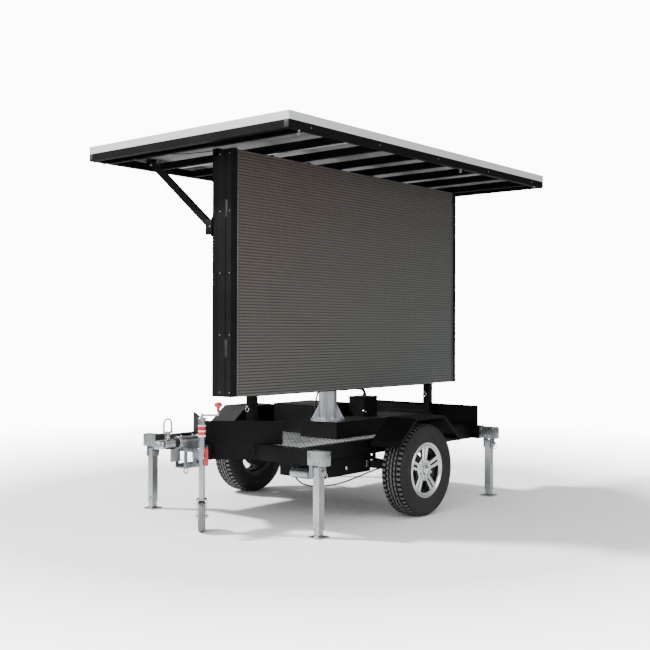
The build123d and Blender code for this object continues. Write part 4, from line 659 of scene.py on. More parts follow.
    def along(
        self, points: Sequence[Vector], radius: Callable[[float], float] | float, finish: Finish,
        segments: int = 16,
    ) -> None:
        """Runs a round section along the points.

        Args:
            points: the middle line, in metres.
            radius: millimetres, or a function of the share of the way along.
            finish: the finish.
            segments: how many sides the section has.
        """
        count = len(points)
        tangents = []
        for n in range(count):
            before, after = points[max(n - 1, 0)], points[min(n + 1, count - 1)]
            tangents.append((after - before).normalized())
        across = tangents[0].orthogonal().normalized()
        rings = []
        for n, (point, way) in enumerate(zip(points, tangents)):
            if n:
                across = (tangents[n - 1].rotation_difference(way)) @ across
            across = (across - way * across.dot(way)).normalized()
            other = way.cross(across)
            size = radius(n / (count - 1)) if callable(radius) else radius
            ring = []
            for k in range(segments):
                turn = 2 * math.pi * k / segments
                ring.append(point + (across * math.cos(turn) + other * math.sin(turn)) * size * MM)
            rings.append(ring)
        self.hull(rings, finish)

    def ring(
        self, middle: Vector, axis: Point, radius: float, wire: float, finish: Finish, segments: int = 32,
    ) -> None:
        """Adds a closed ring of round wire, sizes in millimetres.

        Args:
            middle: the ring's middle, in metres.
            axis: the direction of its axis.
            radius: the radius in millimetres.
            wire: the wire's radius in millimetres.
            finish: its finish.
            segments: how many sides the round has.
        """
        profile = []
        for n in range(10):
            turn = 2 * math.pi * n / 10
            profile.append((wire * math.sin(turn), radius + wire * math.cos(turn)))
        self.turned(profile, middle, axis, finish, segments, closed=True)

    def piece(
        self, name: str, body: str, slot: str, replaces: Sequence[str] = (), crease: float = 32.0,
    ) -> bpy.types.Object:
        """Makes the object, dresses it and fixes it to its body.

        Args:
            name: the piece's name.
            body: the CAD body that it rides on.
            slot: the record's material slot; not used.
            replaces: the CAD nodes that it stands for.
            crease: edges sharper than this angle in degrees stay sharp.

        Returns:
            The object.
        """
        bmesh.ops.recalc_face_normals(self.bm, faces=self.bm.faces[:])
        mesh = bpy.data.meshes.new(name)
        self.bm.to_mesh(mesh)
        self.bm.free()
        for finish in self.finishes:
            mesh.materials.append(finish.material())
        mesh.shade_smooth()
        mesh.set_sharp_from_angle(angle=math.radians(crease))
        made = bpy.data.objects.new(name, mesh)
        bpy.context.collection.objects.link(made)
        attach(made, body)
        if replaces:
            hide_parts(*replaces)
        LOG.info("%s: %d faces on %s", name, len(mesh.polygons), body)
        return made


def dress(node: str, finish: Finish, ease: float = 0.0) -> None:
    """Gives a CAD node its finish, and eased edges where it has sharp ones.

    Args:
        node: the node's name.
        finish: its finish.
        ease: the edge radius in millimetres, or 0 to leave the edges.
    """
    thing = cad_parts[node]
    if not thing.data.materials:
        thing.data.materials.append(None)
    for place in thing.material_slots:
        place.material = finish.material()
    if ease > 0:
        bevel = thing.modifiers.new("eased_edges", "BEVEL")
        bevel.width = ease * MM
        bevel.segments = 2
        bevel.limit_method = "ANGLE"
        bevel.angle_limit = math.radians(40)
        bevel.harden_normals = False


# -------------------------------------------------------------------- pieces


@dataclass
class Wheel:
    """A tyre with its tread, a five-pair alloy rim, and the chromed cap and nuts."""

    side: Side
    radius: float = 325.0
    tread_half: float = 66.0
    groove_lines: tuple = (-40.0, -14.0, 14.0, 40.0)
    groove_half: float = 3.6
    groove_depth: float = 9.0
    zigzag: float = 4.2
    zigzag_count: int = 56
    shoulder: float = 17.0
    notch_share: float = 0.26
    sipe_share: float = 0.17
    sipe_depth: float = 3.0
    tread_start: float = 316.0
    around: int = 336
    spokes: int = 5
    pair_gap: float = 15.5
    pair_flare: float = 0.06
    # Radius, half width, and inboard and outboard reach of a spoke, from the hub to the rim.
    spoke_stations: tuple = (
        (62, 12, 40, 63), (84, 11, 42, 67), (110, 11.5, 45, 70), (140, 13, 48, 73), (160, 15, 50, 75),
        (171, 17, 52, 76),
    )
    stud_circle: float = 56.0

    @property
    def label(self) -> str:
        """The side's name in the nodes."""
        return self.side.name.lower()

    @cached_property
    def middle(self) -> Vector:
        """The middle of the tyre."""
        return middle_of("tyre_" + self.label)

    def place(self, radius: float, turn: float, offset: float) -> Vector:
        """Returns the point at a radius, an angle and a distance outboard of the wheel's middle."""
        out = Vector((0, self.side.value * offset * MM, 0))
        return self.middle + out + Vector((math.sin(turn), 0, math.cos(turn))) * radius * MM

    def build(self) -> None:
        """Builds the tyre, the rim and the cap with its nuts."""
        self.build_tyre()
        self.build_rim()
        self.build_hub()

    def section(self) -> list[tuple[float, float]]:
        """Returns the tyre's outline as (offset, radius), out over the tread and back inside.

        Returns:
            The outline's points, as offset and radius in millimetres.
        """
        half = [
            (78, 179), (80, 186), (79.5, 195), (82, 202), (86.5, 214), (87.5, 217), (90, 226), (92.5, 240),
        ]
        half += [
            (94, 256), (94.2, 262), (93, 276), (90.5, 288), (90.8, 292), (88.5, 297), (86, 305),
            (81.5, 313), (75, 319.5),
        ]
        step = 3.0
        count = int(2 * (self.tread_half + 3) / step)
        tread = []
        for n in range(count + 1):
            offset = self.tread_half + 3 - n * step
            tread.append((offset, self.radius - 2.4 * (offset / self.tread_half) ** 2 - 0.2))
        mirrored = [(-offset, radius) for offset, radius in reversed(half)]
        inside = [
            (-66, 180), (-76, 215), (-80, 258), (-70, 290), (-50, 303), (50, 303), (70, 290), (80, 258),
            (76, 215), (66, 180),
        ]
        return half + tread + mirrored + inside

    def sunk(self, offset: float, radius: float, step: int) -> float:
        """Returns how deep a point of the tread lies in a groove or notch, in millimetres.

        Args:
            offset: the distance outboard of the middle, in millimetres.
            radius: the radius in millimetres.
            step: the step around the wheel.

        Returns:
            The depth in millimetres.
        """
        if radius < self.radius - self.groove_depth or abs(offset) > self.tread_half + self.groove_depth:
            return 0.0
        phase = step * self.zigzag_count / self.around
        swing = (abs((phase % 1) - 0.5) * 4 - 1) * self.zigzag
        for n, line in enumerate(self.groove_lines):
            way = 1 if n % 2 else -1
            if abs(offset - line - way * swing) < self.groove_half:
                return self.groove_depth
        shoulder = abs(offset) > self.tread_half - self.shoulder
        if shoulder and (phase + (0.5 if offset > 0 else 0.0)) % 1 < self.notch_share:
            return self.groove_depth * 0.75
        narrow = (phase + offset / 60) % 1 < self.sipe_share
        return self.sipe_depth if narrow else 0.0

    def build_tyre(self) -> None:
        """Builds the tyre with grooves, notches and sidewall rings, closed inside."""
        outline = self.section()
        mesher = Mesher()
        rings = []
        for step in range(self.around):
            turn = 2 * math.pi * step / self.around
            ring = []
            for offset, radius in outline:
                depth = self.sunk(offset, radius, step)
                ring.append(self.place(radius - depth, turn, offset))
            rings.append(ring)
        faces = mesher.hull(rings, TYRE, closed=True)
        count = len(outline)
        blocks, floors = [], []
        for index, face in enumerate(faces):
            step, place = divmod(index, count)
            ends = (place, (place + 1) % count)
            if min(outline[end][1] for end in ends) <= self.tread_start:
                continue
            turns = (step, (step + 1) % self.around)
            deepest = max(self.sunk(*outline[end], turn) for end in ends for turn in turns)
            (blocks if deepest <= self.sipe_depth else floors).append(face)
        mesher.paint(blocks, TREAD)
        # Painted shade on the floors of the grooves.
        mesher.paint(floors, GROOVE_SHADE)
        mesher.piece(
            "tyre_carcass_" + self.label, "wheel_" + self.label, "tyre_rubber", ["tyre_" + self.label], 40,
        )

    def build_rim(self) -> None:
        """Builds the barrel, the outer lip and five pairs of spokes."""
        mesher = Mesher()
        middle = self.middle
        way = (0, self.side.value, 0)
        barrel = [
            (-82, 194.5), (-78, 194.5), (-77.5, 178), (-40, 176), (-30, 160), (20, 160), (34, 176),
            (77.5, 178),
        ]
        barrel += [
            (78, 194.5), (82, 194.5), (84, 190), (82, 183), (74, 173), (34, 170), (20, 154), (-30, 154),
            (-40, 170), (-78, 172),
        ]
        # The barrel is darker than the face: road film, and painted shade inside the wheel.
        faces = mesher.turned(barrel, middle, way, BARREL_FILM_AND_SHADE, 96, closed=True)
        lip = [face for face in faces if (face.calc_center_median() - middle).y * self.side.value > 70 * MM]
        mesher.paint(lip, ALLOY)
        flange = [(68, 174), (74, 174), (76, 168), (73, 160), (66, 160)]
        mesher.turned(flange, middle, way, ALLOY, 96, closed=True)
        centre = [(40, 36), (40, 78), (58, 80), (64, 76), (65, 70), (62, 64), (62, 48), (68, 42), (68, 36)]
        mesher.turned(centre, middle, way, ALLOY, 72, closed=True)
        for n in range(self.spokes):
            for lean in (-1, 1):
                self.add_spoke(mesher, 2 * math.pi * n / self.spokes, lean)
        mesher.piece("alloy_rim_" + self.label, "wheel_" + self.label, "alloy", ["rim_" + self.label])

    def add_spoke(self, mesher: Mesher, turn: float, lean: int) -> None:
        """Adds one bar of a pair: narrow, ridged outboard and flared where it meets the rim.

        Args:
            mesher: the rim's mesher.
            turn: the pair's angle.
            lean: which bar of the pair.
        """
        rings = []
        for radius, half, inboard, ridge in self.spoke_stations:
            spread = math.atan2(self.pair_gap + self.pair_flare * (radius - 66), radius) * lean
            section = [(-half, inboard), (half, inboard), (half, ridge - 7), (half * 0.55, ridge)]
            section += [(-half * 0.55, ridge), (-half, ridge - 7)]
            ring = []
            for across, offset in section:
                bend = math.atan2(across, radius)
                ring.append(self.place(math.hypot(radius, across), turn + spread + bend, offset))
            rings.append(ring)
        mesher.hull(rings, ALLOY)

    def build_hub(self) -> None:
        """Builds the domed cap, the conical nuts and the valve."""
        mesher = Mesher()
        way = (0, self.side.value, 0)
        dome = [(58, 30.8), (76, 30.8), (79, 29), (81, 22), (82, 12), (82.3, 0.1)]
        mesher.turned(dome, self.middle, way, CHROME, 48)
        for n in range(self.spokes):
            turn = 2 * math.pi * (n + 0.5) / self.spokes
            seat = self.place(self.stud_circle, turn, 62.2)
            mesher.turned([(0, 13.5), (1.5, 13.5), (3, 12)], seat, way, CHROME, 24)
            mesher.turned([(3, 11.6), (16, 11.6), (20, 9), (21.5, 4), (21.7, 0.1)], seat, way, CHROME, 6)
        valve = self.place(150, math.radians(36), 62)
        mesher.bar(valve, self.place(150, math.radians(36), 84), 4.2, EPDM, 1.5, 14)
        mesher.piece("wheel_cap_" + self.label, "wheel_" + self.label, "hub_steel")
        dress("hub_" + self.label, DRUM_IRON)


@dataclass
class SolarRoof:
    """Four glazed panels on the black roof frame, with their junction boxes and leads."""

    panels: int = 4
    gap: float = 2.0
    wall: float = 3.0
    flange: float = 25.0
    glass_drop: float = 4.0
    laminate: float = 6.0

    def build(self) -> None:
        """Builds the panel frames, the laminates and the leads."""
        low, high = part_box("solar_panels")
        pitch = (high.x - low.x) / self.panels
        frames, glass, boxes = Mesher(), Mesher(), Mesher()
        for n in range(self.panels):
            x0 = low.x + n * pitch + (self.gap / 2 * MM if n else 0)
            x1 = low.x + (n + 1) * pitch - (self.gap / 2 * MM if n < self.panels - 1 else 0)
            self.add_frame(frames, Vector((x0, low.y, low.z)), Vector((x1, high.y, high.z)))
            self.add_laminate(glass, Vector((x0, low.y, low.z)), Vector((x1, high.y, high.z)))
            self.add_junction(boxes, (x0 + x1) / 2, high)
        frames.piece("solar_panel_frames", "display", "solar", ["solar_panels"])
        glass.piece("solar_laminates", "display", "solar")
        boxes.piece("solar_junction_boxes", "display", "solar")

    def add_frame(self, mesher: Mesher, low: Vector, high: Vector) -> None:
        """Adds one mitred frame: a hollow-looking C section run round the panel.

        Args:
            mesher: the mesher of the piece.
            low: the panel's lowest corner, in metres.
            high: its highest corner, in metres.
        """
        wall, flange = self.wall * MM, self.flange * MM
        top_lip = 11 * MM
        drop = (self.glass_drop - 2.5) * MM
        section = [
            (0, 0), (0, high.z - low.z), (top_lip, high.z - low.z), (top_lip, high.z - low.z - drop),
            (wall, high.z - low.z - drop), (wall, wall), (flange, wall), (flange, 0),
        ]
        rings = []
        corners = [
            (low.x, low.y, 1, 1), (high.x, low.y, -1, 1), (high.x, high.y, -1, -1), (low.x, high.y, 1, -1),
        ]
        for x, y, way_x, way_y in corners:
            rings.append(
                [Vector((x + way_x * inset, y + way_y * inset, low.z + up)) for inset, up in section]
            )
        mesher.hull(rings, PANEL_FRAME, closed=True)

    def add_laminate(self, mesher: Mesher, low: Vector, high: Vector) -> None:
        """Adds the glass with its cells, over the backsheet that shows from below.

        Args:
            mesher: the mesher of the piece.
            low: the panel's lowest corner, in metres.
            high: its highest corner, in metres.
        """
        inset = (self.wall + 0.4) * MM
        top = high.z - self.glass_drop * MM
        x = (low.x + inset, high.x - inset)
        y = (low.y + inset, high.y - inset)
        mesher.slab(Vector((x[0], y[0], top - 3.4 * MM)), Vector((x[1], y[1], top)), CELLS, 0.6)
        bottom = top - self.laminate * MM
        mesher.slab(Vector((x[0], y[0], bottom)), Vector((x[1], y[1], top - 3.5 * MM)), BACKSHEET, 0.5)

    def add_junction(self, mesher: Mesher, x: float, high: Vector) -> None:
        """Adds a junction box under a panel with its lid, ribs and two leads.

        Args:
            mesher: the mesher of the piece.
            x: the box's middle along X, in metres.
            high: the highest corner, in metres.
        """
        top = high.z - (self.glass_drop + self.laminate) * MM
        y = high.y - 260 * MM
        mesher.slab(
            Vector((x - 0.06, y - 0.04, top - 0.018)), Vector((x + 0.06, y + 0.04, top)), JUNCTION, 3,
        )
        mesher.slab(
            Vector((x - 0.052, y - 0.032, top - 0.022)), Vector((x + 0.052, y + 0.032, top - 0.017)),
            JUNCTION, 1.5,
        )
        for n in range(4):
            rib = x - 0.036 + n * 0.024
            mesher.slab(
                Vector((rib - 0.002, y - 0.026, top - 0.0235)),
                Vector((rib + 0.002, y + 0.026, top - 0.021)), JUNCTION, 0.5,
            )
        for way in (-1, 1):
            start = Vector((x + way * 0.045, y - 0.038, top - 0.012))
            points = []
            for n in range(25):
                share = n / 24
                sag = -0.006 * math.sin(math.pi * share)
                bend = 0.02 * math.sin(2 * math.pi * share)
                points.append(start + Vector((way * (0.16 * share + bend * 0.3), -0.5 * share + bend, sag)))
            mesher.along(points, 3.0, PVC, 10)
            plug = points[-1]
            mesher.bar(plug + Vector((0, 0.004, 0)), plug + Vector((0, -0.06, 0)), 7.0, JUNCTION, 2.5, 16)
            mesher.bar(plug + Vector((0, -0.02, 0)), plug + Vector((0, -0.034, 0)), 9.0, JUNCTION, 2.0, 16)


@dataclass
class Display:
    """The module grid with its louvres, the cabinet's trims and the hardware on its back."""

    rows: int = 80
    module_length: float = 320.0
    louvre_place: float = 0.93
    louvre_section: tuple = ((0.0, -0.0022), (-0.0055, -0.0012), (-0.0055, 0.0002), (0.0, 0.0014))
    joint_half: float = 0.8
    handle_heights: tuple = (1190.0, 2090.0)
    back_y: float = -178.0
    vent_middles: tuple = (-0.83, 0.02)
    vent_rows: int = 7

    def build(self) -> None:
        """Builds the louvres and trims and dresses the display's nodes."""
        self.build_face()
        self.build_trims()
        self.build_back()
        dress("led_modules", LED_MASK)
        dress("display_cabinet", CABINET_BLACK, 1.2)
        dress("service_door", CABINET_BLACK, 0.8)
        dress("display_back_frame", FRAME_BLACK, 2.0)

    def build_face(self) -> None:
        """Builds one shade over each row of lamps, broken at the module joints."""
        low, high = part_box("led_modules")
        mesher = Mesher()
        columns = round((high.x - low.x) / (self.module_length * MM))
        width = (high.x - low.x) / columns
        step = (high.z - low.z) / self.rows
        for row in range(self.rows):
            z = low.z + (row + self.louvre_place) * step
            for column in range(columns):
                x0 = low.x + column * width + self.joint_half * MM
                x1 = low.x + (column + 1) * width - self.joint_half * MM
                rings = [
                    [
                        Vector((x, low.y + 0.0002 + y, z + up)) for y, up in self.louvre_section
                    ] for x in (x0, x1)
                ]
                # The louvres carry painted shade: darker than the mask they are moulded with.
                mesher.hull(rings, LOUVRE_SHADE)
        mesher.piece("led_louvres", "display", "led_face")

    def build_trims(self) -> None:
        """Builds the edge trims beside the modules, side seams, handles and corner screws."""
        mesher = Mesher()
        low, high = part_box("display_cabinet")
        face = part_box("led_modules")
        for end, x0, x1 in ((-1, low.x, face[0].x), (1, face[1].x, high.x)):
            inner = x1 if end < 0 else x0
            mesher.slab(
                Vector((inner - end * 0.0005, low.y - 0.006, low.z)),
                Vector((inner + end * 0.007, low.y, high.z)), PIN_TRIM, 0.8,
            )
            outer = low.x if end < 0 else high.x
            seam_y = low.y + 0.052
            mesher.slab(
                Vector((outer, seam_y - 0.002, low.z + 0.004)),
                Vector((outer + end * 0.0022, seam_y + 0.002, high.z - 0.004)), FRAME_BLACK, 0.6,
            )
            for z in (low.z + 0.03, low.z + 0.4, low.z + 0.8, low.z + 1.2, high.z - 0.03):
                for y in (low.y + 0.012, low.y + 0.1):
                    mesher.bolt(Vector((outer, y, z)), (end, 0, 0), 7, 2.4, PIN_STEEL, False)
        for height in self.handle_heights:
            y, z = low.y + 0.04, height * MM
            for rim in (-1, 1):
                mesher.slab(
                    Vector((low.x - 0.002, y + rim * 0.0085 - 0.0012, z - 0.0615)),
                    Vector((low.x + 0.0005, y + rim * 0.0085 + 0.0012, z + 0.0615)), PIN_TRIM, 0.5,
                )
            mesher.bar(
                Vector((low.x - 0.001, y, z - 0.052)), Vector((low.x - 0.001, y, z + 0.052)), 2.2, PIN_TRIM,
                1, 12,
            )
        mesher.piece("display_trims", "display", "cabinet_grey")

    def build_back(self) -> None:
        """Builds the cabinet's rear vents, cable loom, rows of screw heads and yoke bolts."""
        mesher = Mesher()
        back = at(0, self.back_y, 0).y
        for middle in self.vent_middles:
            for row in range(self.vent_rows):
                z = 2.05 + row * 0.03
                mesher.slab(
                    Vector((DATUM.x + middle - 0.16, back - 0.0005, z)),
                    Vector((DATUM.x + middle + 0.16, back + 0.006, z + 0.012)), CABINET_BLACK, 1.5,
                )
        for x in (-1265, -870, -500, -400, 0, 400, 500):
            for z in (905, 960, 1400, 1900):
                mesher.bolt(at(x, -178, z + 40), (0, 1, 0), 8, 3, PIN_STEEL, False)
        for x in (-60, 60):
            for shift in (-18, 18):
                mesher.bolt(at(x + shift, 0, 2032), (0, 0, 1), 17, 10, ZINC)
        for n in range(8):
            turn = 2 * math.pi * (n + 0.5) / 8
            if abs(math.cos(turn)) > 0.9:
                continue
            mesher.bolt(at(88 * math.cos(turn), 88 * math.sin(turn), 1972), (0, 0, 1), 13, 8, ZINC)
        loom = [
            at(-95, -60, 1900), at(-110, -90, 1930), at(-130, -100, 2000), at(-160, -118, 2060),
            at(-210, -150, 2100), at(-230, -176, 2110),
        ]
        mesher.along(smooth_line(loom, 40), 9.0, CONDUIT, 14)
        mesher.piece("display_back_hardware", "display", "frame_black")


def smooth_line(points: Sequence[Vector], count: int) -> list[Vector]:
    """Returns evenly spread points on the smooth line that the given points pull.

    Args:
        points: the control points, in metres.
        count: how many points to return.

    Returns:
        Points from the first control point to the last.
    """
    data = bpy.data.curves.new("line", "CURVE")
    data.dimensions = "3D"
    spline = data.splines.new("NURBS")
    spline.points.add(len(points) - 1)
    for place, point in zip(spline.points, points):
        place.co = (*point, 1.0)
    spline.order_u = 3
    spline.use_endpoint_u = True
    spline.resolution_u = 12
    holder = bpy.data.objects.new("line", data)
    bpy.context.collection.objects.link(holder)
    bpy.context.view_layer.update()
    mesh = bpy.data.meshes.new_from_object(holder)
    raw = [vertex.co.copy() for vertex in mesh.vertices]
    bpy.data.objects.remove(holder)
    bpy.data.meshes.remove(mesh)
    bpy.data.curves.remove(data)
    steps = [0.0]
    for a, b in zip(raw, raw[1:]):
        steps.append(steps[-1] + (b - a).length)
    evened = []
    place = 0
    for n in range(count):
        target = steps[-1] * n / (count - 1)
        while place < len(steps) - 2 and steps[place + 1] < target:
            place += 1
        span = steps[place + 1] - steps[place]
        share = 0.0 if span == 0 else (target - steps[place]) / span
        evened.append(raw[place].lerp(raw[place + 1], min(max(share, 0.0), 1.0)))
    return evened


@dataclass
class Deck:
    """The tread plate's raised diamonds."""

    pitch: float = 40.0
    lug: float = 15.5
    rise: float = 1.8

    def build(self) -> None:
        """Builds a lattice of raised diamonds with worn tops on the plate."""
        low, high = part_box("deck_plate")
        mesher = Mesher()
        half = self.pitch * MM / 2
        columns = int((high.x - low.x) / half) - 1
        rows = int((high.y - low.y) / half) - 1
        for column in range(columns):
            for row in range(rows):
                if (column + row) % 2:
                    continue
                x, y = low.x + (column + 1) * half, low.y + (row + 1) * half
                self.add_lug(mesher, x, y, high.z)
        mesher.piece("deck_tread_lugs", "chassis", "tread_plate")

    def add_lug(self, mesher: Mesher, x: float, y: float, z: float) -> None:
        """Adds one diamond: a low frustum whose sides slope to the plate.

        Args:
            mesher: the mesher of the piece.
            x: the place along X, in metres.
            y: the place along Y, in metres.
            z: the height, in metres.
        """
        rings = []
        for size, up in ((self.lug, -0.2), (self.lug - 2.2, self.rise)):
            reach = size * MM
            ring = [(reach, 0), (0, reach), (-reach, 0), (0, -reach)]
            rings.append([Vector((x + dx, y + dy, z + up * MM)) for dx, dy in ring])
        mesher.hull(rings, TREAD_LUG)


@dataclass
class JockeyWheel:
    """The clamp with its red lever, the banded tube, the crank and the roller in its fork."""

    x: float = -1420.0
    y: float = -120.0
    roll_angle: float = 46.9
    trail: float = 35.0
    wheel_radius: float = 100.0
    wheel_half: float = 24.5
    crank_reach: float = 105.0

    def build(self) -> None:
        """Builds each piece on its own body."""
        self.build_clamp()
        self.build_bands()
        self.build_crank()
        self.build_roller()
        self.build_fork()

    def build_clamp(self) -> None:
        """Builds the split clamp on its arm, with the bolt and the lever."""
        mesher = Mesher()
        x, y = self.x, self.y
        for z in (475, 523):
            mesher.turned(
                [(0, 24.2), (0, 32), (1.5, 33.5), (20.5, 33.5), (22, 32), (22, 24.2)], at(x, y, z),
                (0, 0, 1), ZINC, 40, True,
            )
        mesher.turned([(0, 24.2), (0, 29), (26, 29), (26, 24.2)], at(x, y, 497), (0, 0, 1), ZINC, 40, True)
        mesher.slab(at(x - 20, y + 26, 483), at(x + 20, -45.3, 491), ZINC, 1.5)
        mesher.slab(at(x - 20, y + 26, 525), at(x + 20, -45.3, 533), ZINC, 1.5)
        mesher.slab(at(x - 16, y + 26, 490), at(x - 10, -45.3, 526), ZINC, 1.2)
        mesher.slab(at(x + 10, y + 26, 490), at(x + 16, -45.3, 526), ZINC, 1.2)
        mesher.bolt(at(x, -52, 533), (0, 0, 1), 13, 7, ZINC)
        mesher.bar(at(x + 4, y - 29, 515), at(x + 4, y - 47, 515), 7, PIN_STEEL, 1.5)
        lever = [
            at(x + 4, y - 43, 545), at(x + 4, y - 43, 520), at(x + 2, y - 43, 480), at(x - 4, y - 43, 434),
        ]
        mesher.along(smooth_line(lever, 20), lambda share: 10.0 - 2.5 * abs(share - 0.4), RED, 16)
        mesher.piece("jockey_clamp_set", "chassis", "red_paint", ["jockey_clamp"])

    def build_bands(self) -> None:
        """Builds the painted bands and the cap on the outer tube."""
        mesher = Mesher()
        for z, height, finish in (
            (618, 12, WHITE), (630, 20, RED), (650, 10, WHITE), (660, 26, RED), (686, 8, WHITE),
        ):
            ring = [(0, 23.6), (0, 24.5), (height, 24.5), (height, 23.6)]
            mesher.turned(ring, at(self.x, self.y, z), (0, 0, 1), finish, 40, True)
        cap = [(0, 24.1), (0, 26), (14, 26), (17, 24), (18, 12), (18, 9)]
        mesher.turned(cap, at(self.x, self.y, 724), (0, 0, 1), ZINC, 40, True)
        mesher.piece("jockey_tube_bands", "chassis", "red_paint")

    def build_crank(self) -> None:
        """Builds the forged crank arm with its mushroom knob."""
        mesher = Mesher()
        way = Vector((0.639, -0.769, 0.0))
        base = at(self.x, self.y, 0)
        up = Vector((0, 0, MM))
        mesher.bar(base + up * 724, base + up * 766, 8, ZINC, 1.5)
        line = [base + up * 756, base + way * 0.05 + up * 756, base + way * 0.1 + up * 757]
        line += [base + way * 0.108 + up * 764, base + way * 0.105 + up * 790]
        mesher.along(smooth_line(line, 30), 7.2, ZINC, 16)
        knob = base + way * self.crank_reach * MM
        profile = [
            (776, 7.5), (779, 10.5), (800, 10), (808, 15), (813, 23), (820, 26.5), (829, 26), (836, 20),
            (840, 10), (841, 0.1),
        ]
        mesher.turned(profile, knob, (0, 0, 1), KNOB, 32)
        mesher.bolt(base + up * 764, (0, 0, 1), 13, 6, ZINC)
        mesher.piece("jockey_crank_handle", "jockey_handle", "galvanised", ["jockey_crank"])

    def rolled(self, along: float, across: float, z: float) -> Vector:
        """Returns the point along and across the rolling direction, in millimetres.

        Args:
            along: the distance along the rolling direction, in millimetres.
            across: the distance across it, in millimetres.
            z: the height in millimetres.

        Returns:
            The point, in metres.
        """
        turn = math.radians(self.roll_angle)
        x = self.x + along * math.cos(turn) - across * math.sin(turn)
        y = self.y + along * math.sin(turn) + across * math.cos(turn)
        return at(x, y, z)

    def build_roller(self) -> None:
        """Builds the solid rubber roller on its pressed steel wheel."""
        mesher = Mesher()
        turn = math.radians(self.roll_angle)
        axis = (-math.sin(turn), math.cos(turn), 0)
        middle = self.rolled(self.trail, 0, self.wheel_radius)
        half = self.wheel_half
        tread = [
            (-half + 2, 66), (-half, 72), (-half, 88), (-half + 3, 95), (-half + 9, 99), (-12, 99.8),
            (-10, 98), (-6, 98), (-4, 100),
        ]
        tread += [(-reach, size) for reach, size in reversed(tread)]
        tread += [(half - 4, 64), (-half + 4, 64)]
        mesher.turned(tread, middle, axis, ROLLER, 96, True)
        disc = [(-18, 64.5), (-18, 60), (-6, 52), (-6, 24), (-20, 20), (-24, 18), (-24, 6.2)]
        disc += [(24, 6.2), (24, 18), (20, 20), (6, 24), (6, 52), (18, 60), (18, 64.5)]
        mesher.turned(disc, middle, axis, ZINC, 64, True)
        mesher.piece("jockey_roller_set", "jockey_roller", "jockey_tyre", ["jockey_wheel"])

    def build_fork(self) -> None:
        """Builds the pressed fork with its pivot boss and axle nuts."""
        mesher = Mesher()
        outer, plate = 34.0, 4.5
        for side in (-1, 1):
            line = [
                (-24, 217), (self.trail + 6, 217), (self.trail + 14, 190), (self.trail + 17, 104),
                (self.trail + 14, 88), (self.trail, 82),
            ]
            line += [(self.trail - 14, 88), (self.trail - 17, 104), (self.trail - 26, 170), (-24, 204)]
            points = [self.rolled(along, side * outer, z) for along, z in line]
            reach = self.rolled(0, side * (outer - plate), 0) - self.rolled(0, side * outer, 0)
            mesher.outline(points, reach, GALVANISED, 1.0)
            seat = self.rolled(self.trail, side * outer, self.wheel_radius)
            mesher.bolt(seat, self.rolled(0, side, 0) - self.rolled(0, 0, 0), 17, 9, ZINC)
        crown = [
            self.rolled(along, across, 209)
            for along, across in ((-24, -33), (self.trail + 6, -33), (self.trail + 6, 33), (-24, 33))
        ]
        mesher.outline(crown, Vector((0, 0, 0.0088)), GALVANISED, 1.2)
        axle = [self.rolled(self.trail, across, self.wheel_radius) for across in (-36, 36)]
        mesher.bar(*axle, 6, PIN_STEEL, 1)
        mesher.turned(
            [(0, 24), (3, 24), (5, 21), (7.6, 21)], at(self.x, self.y, 210), (0, 0, 1), GALVANISED, 32,
        )
        mesher.piece("jockey_fork_pressing", "jockey_swivel_fork", "galvanised", ["jockey_fork"])


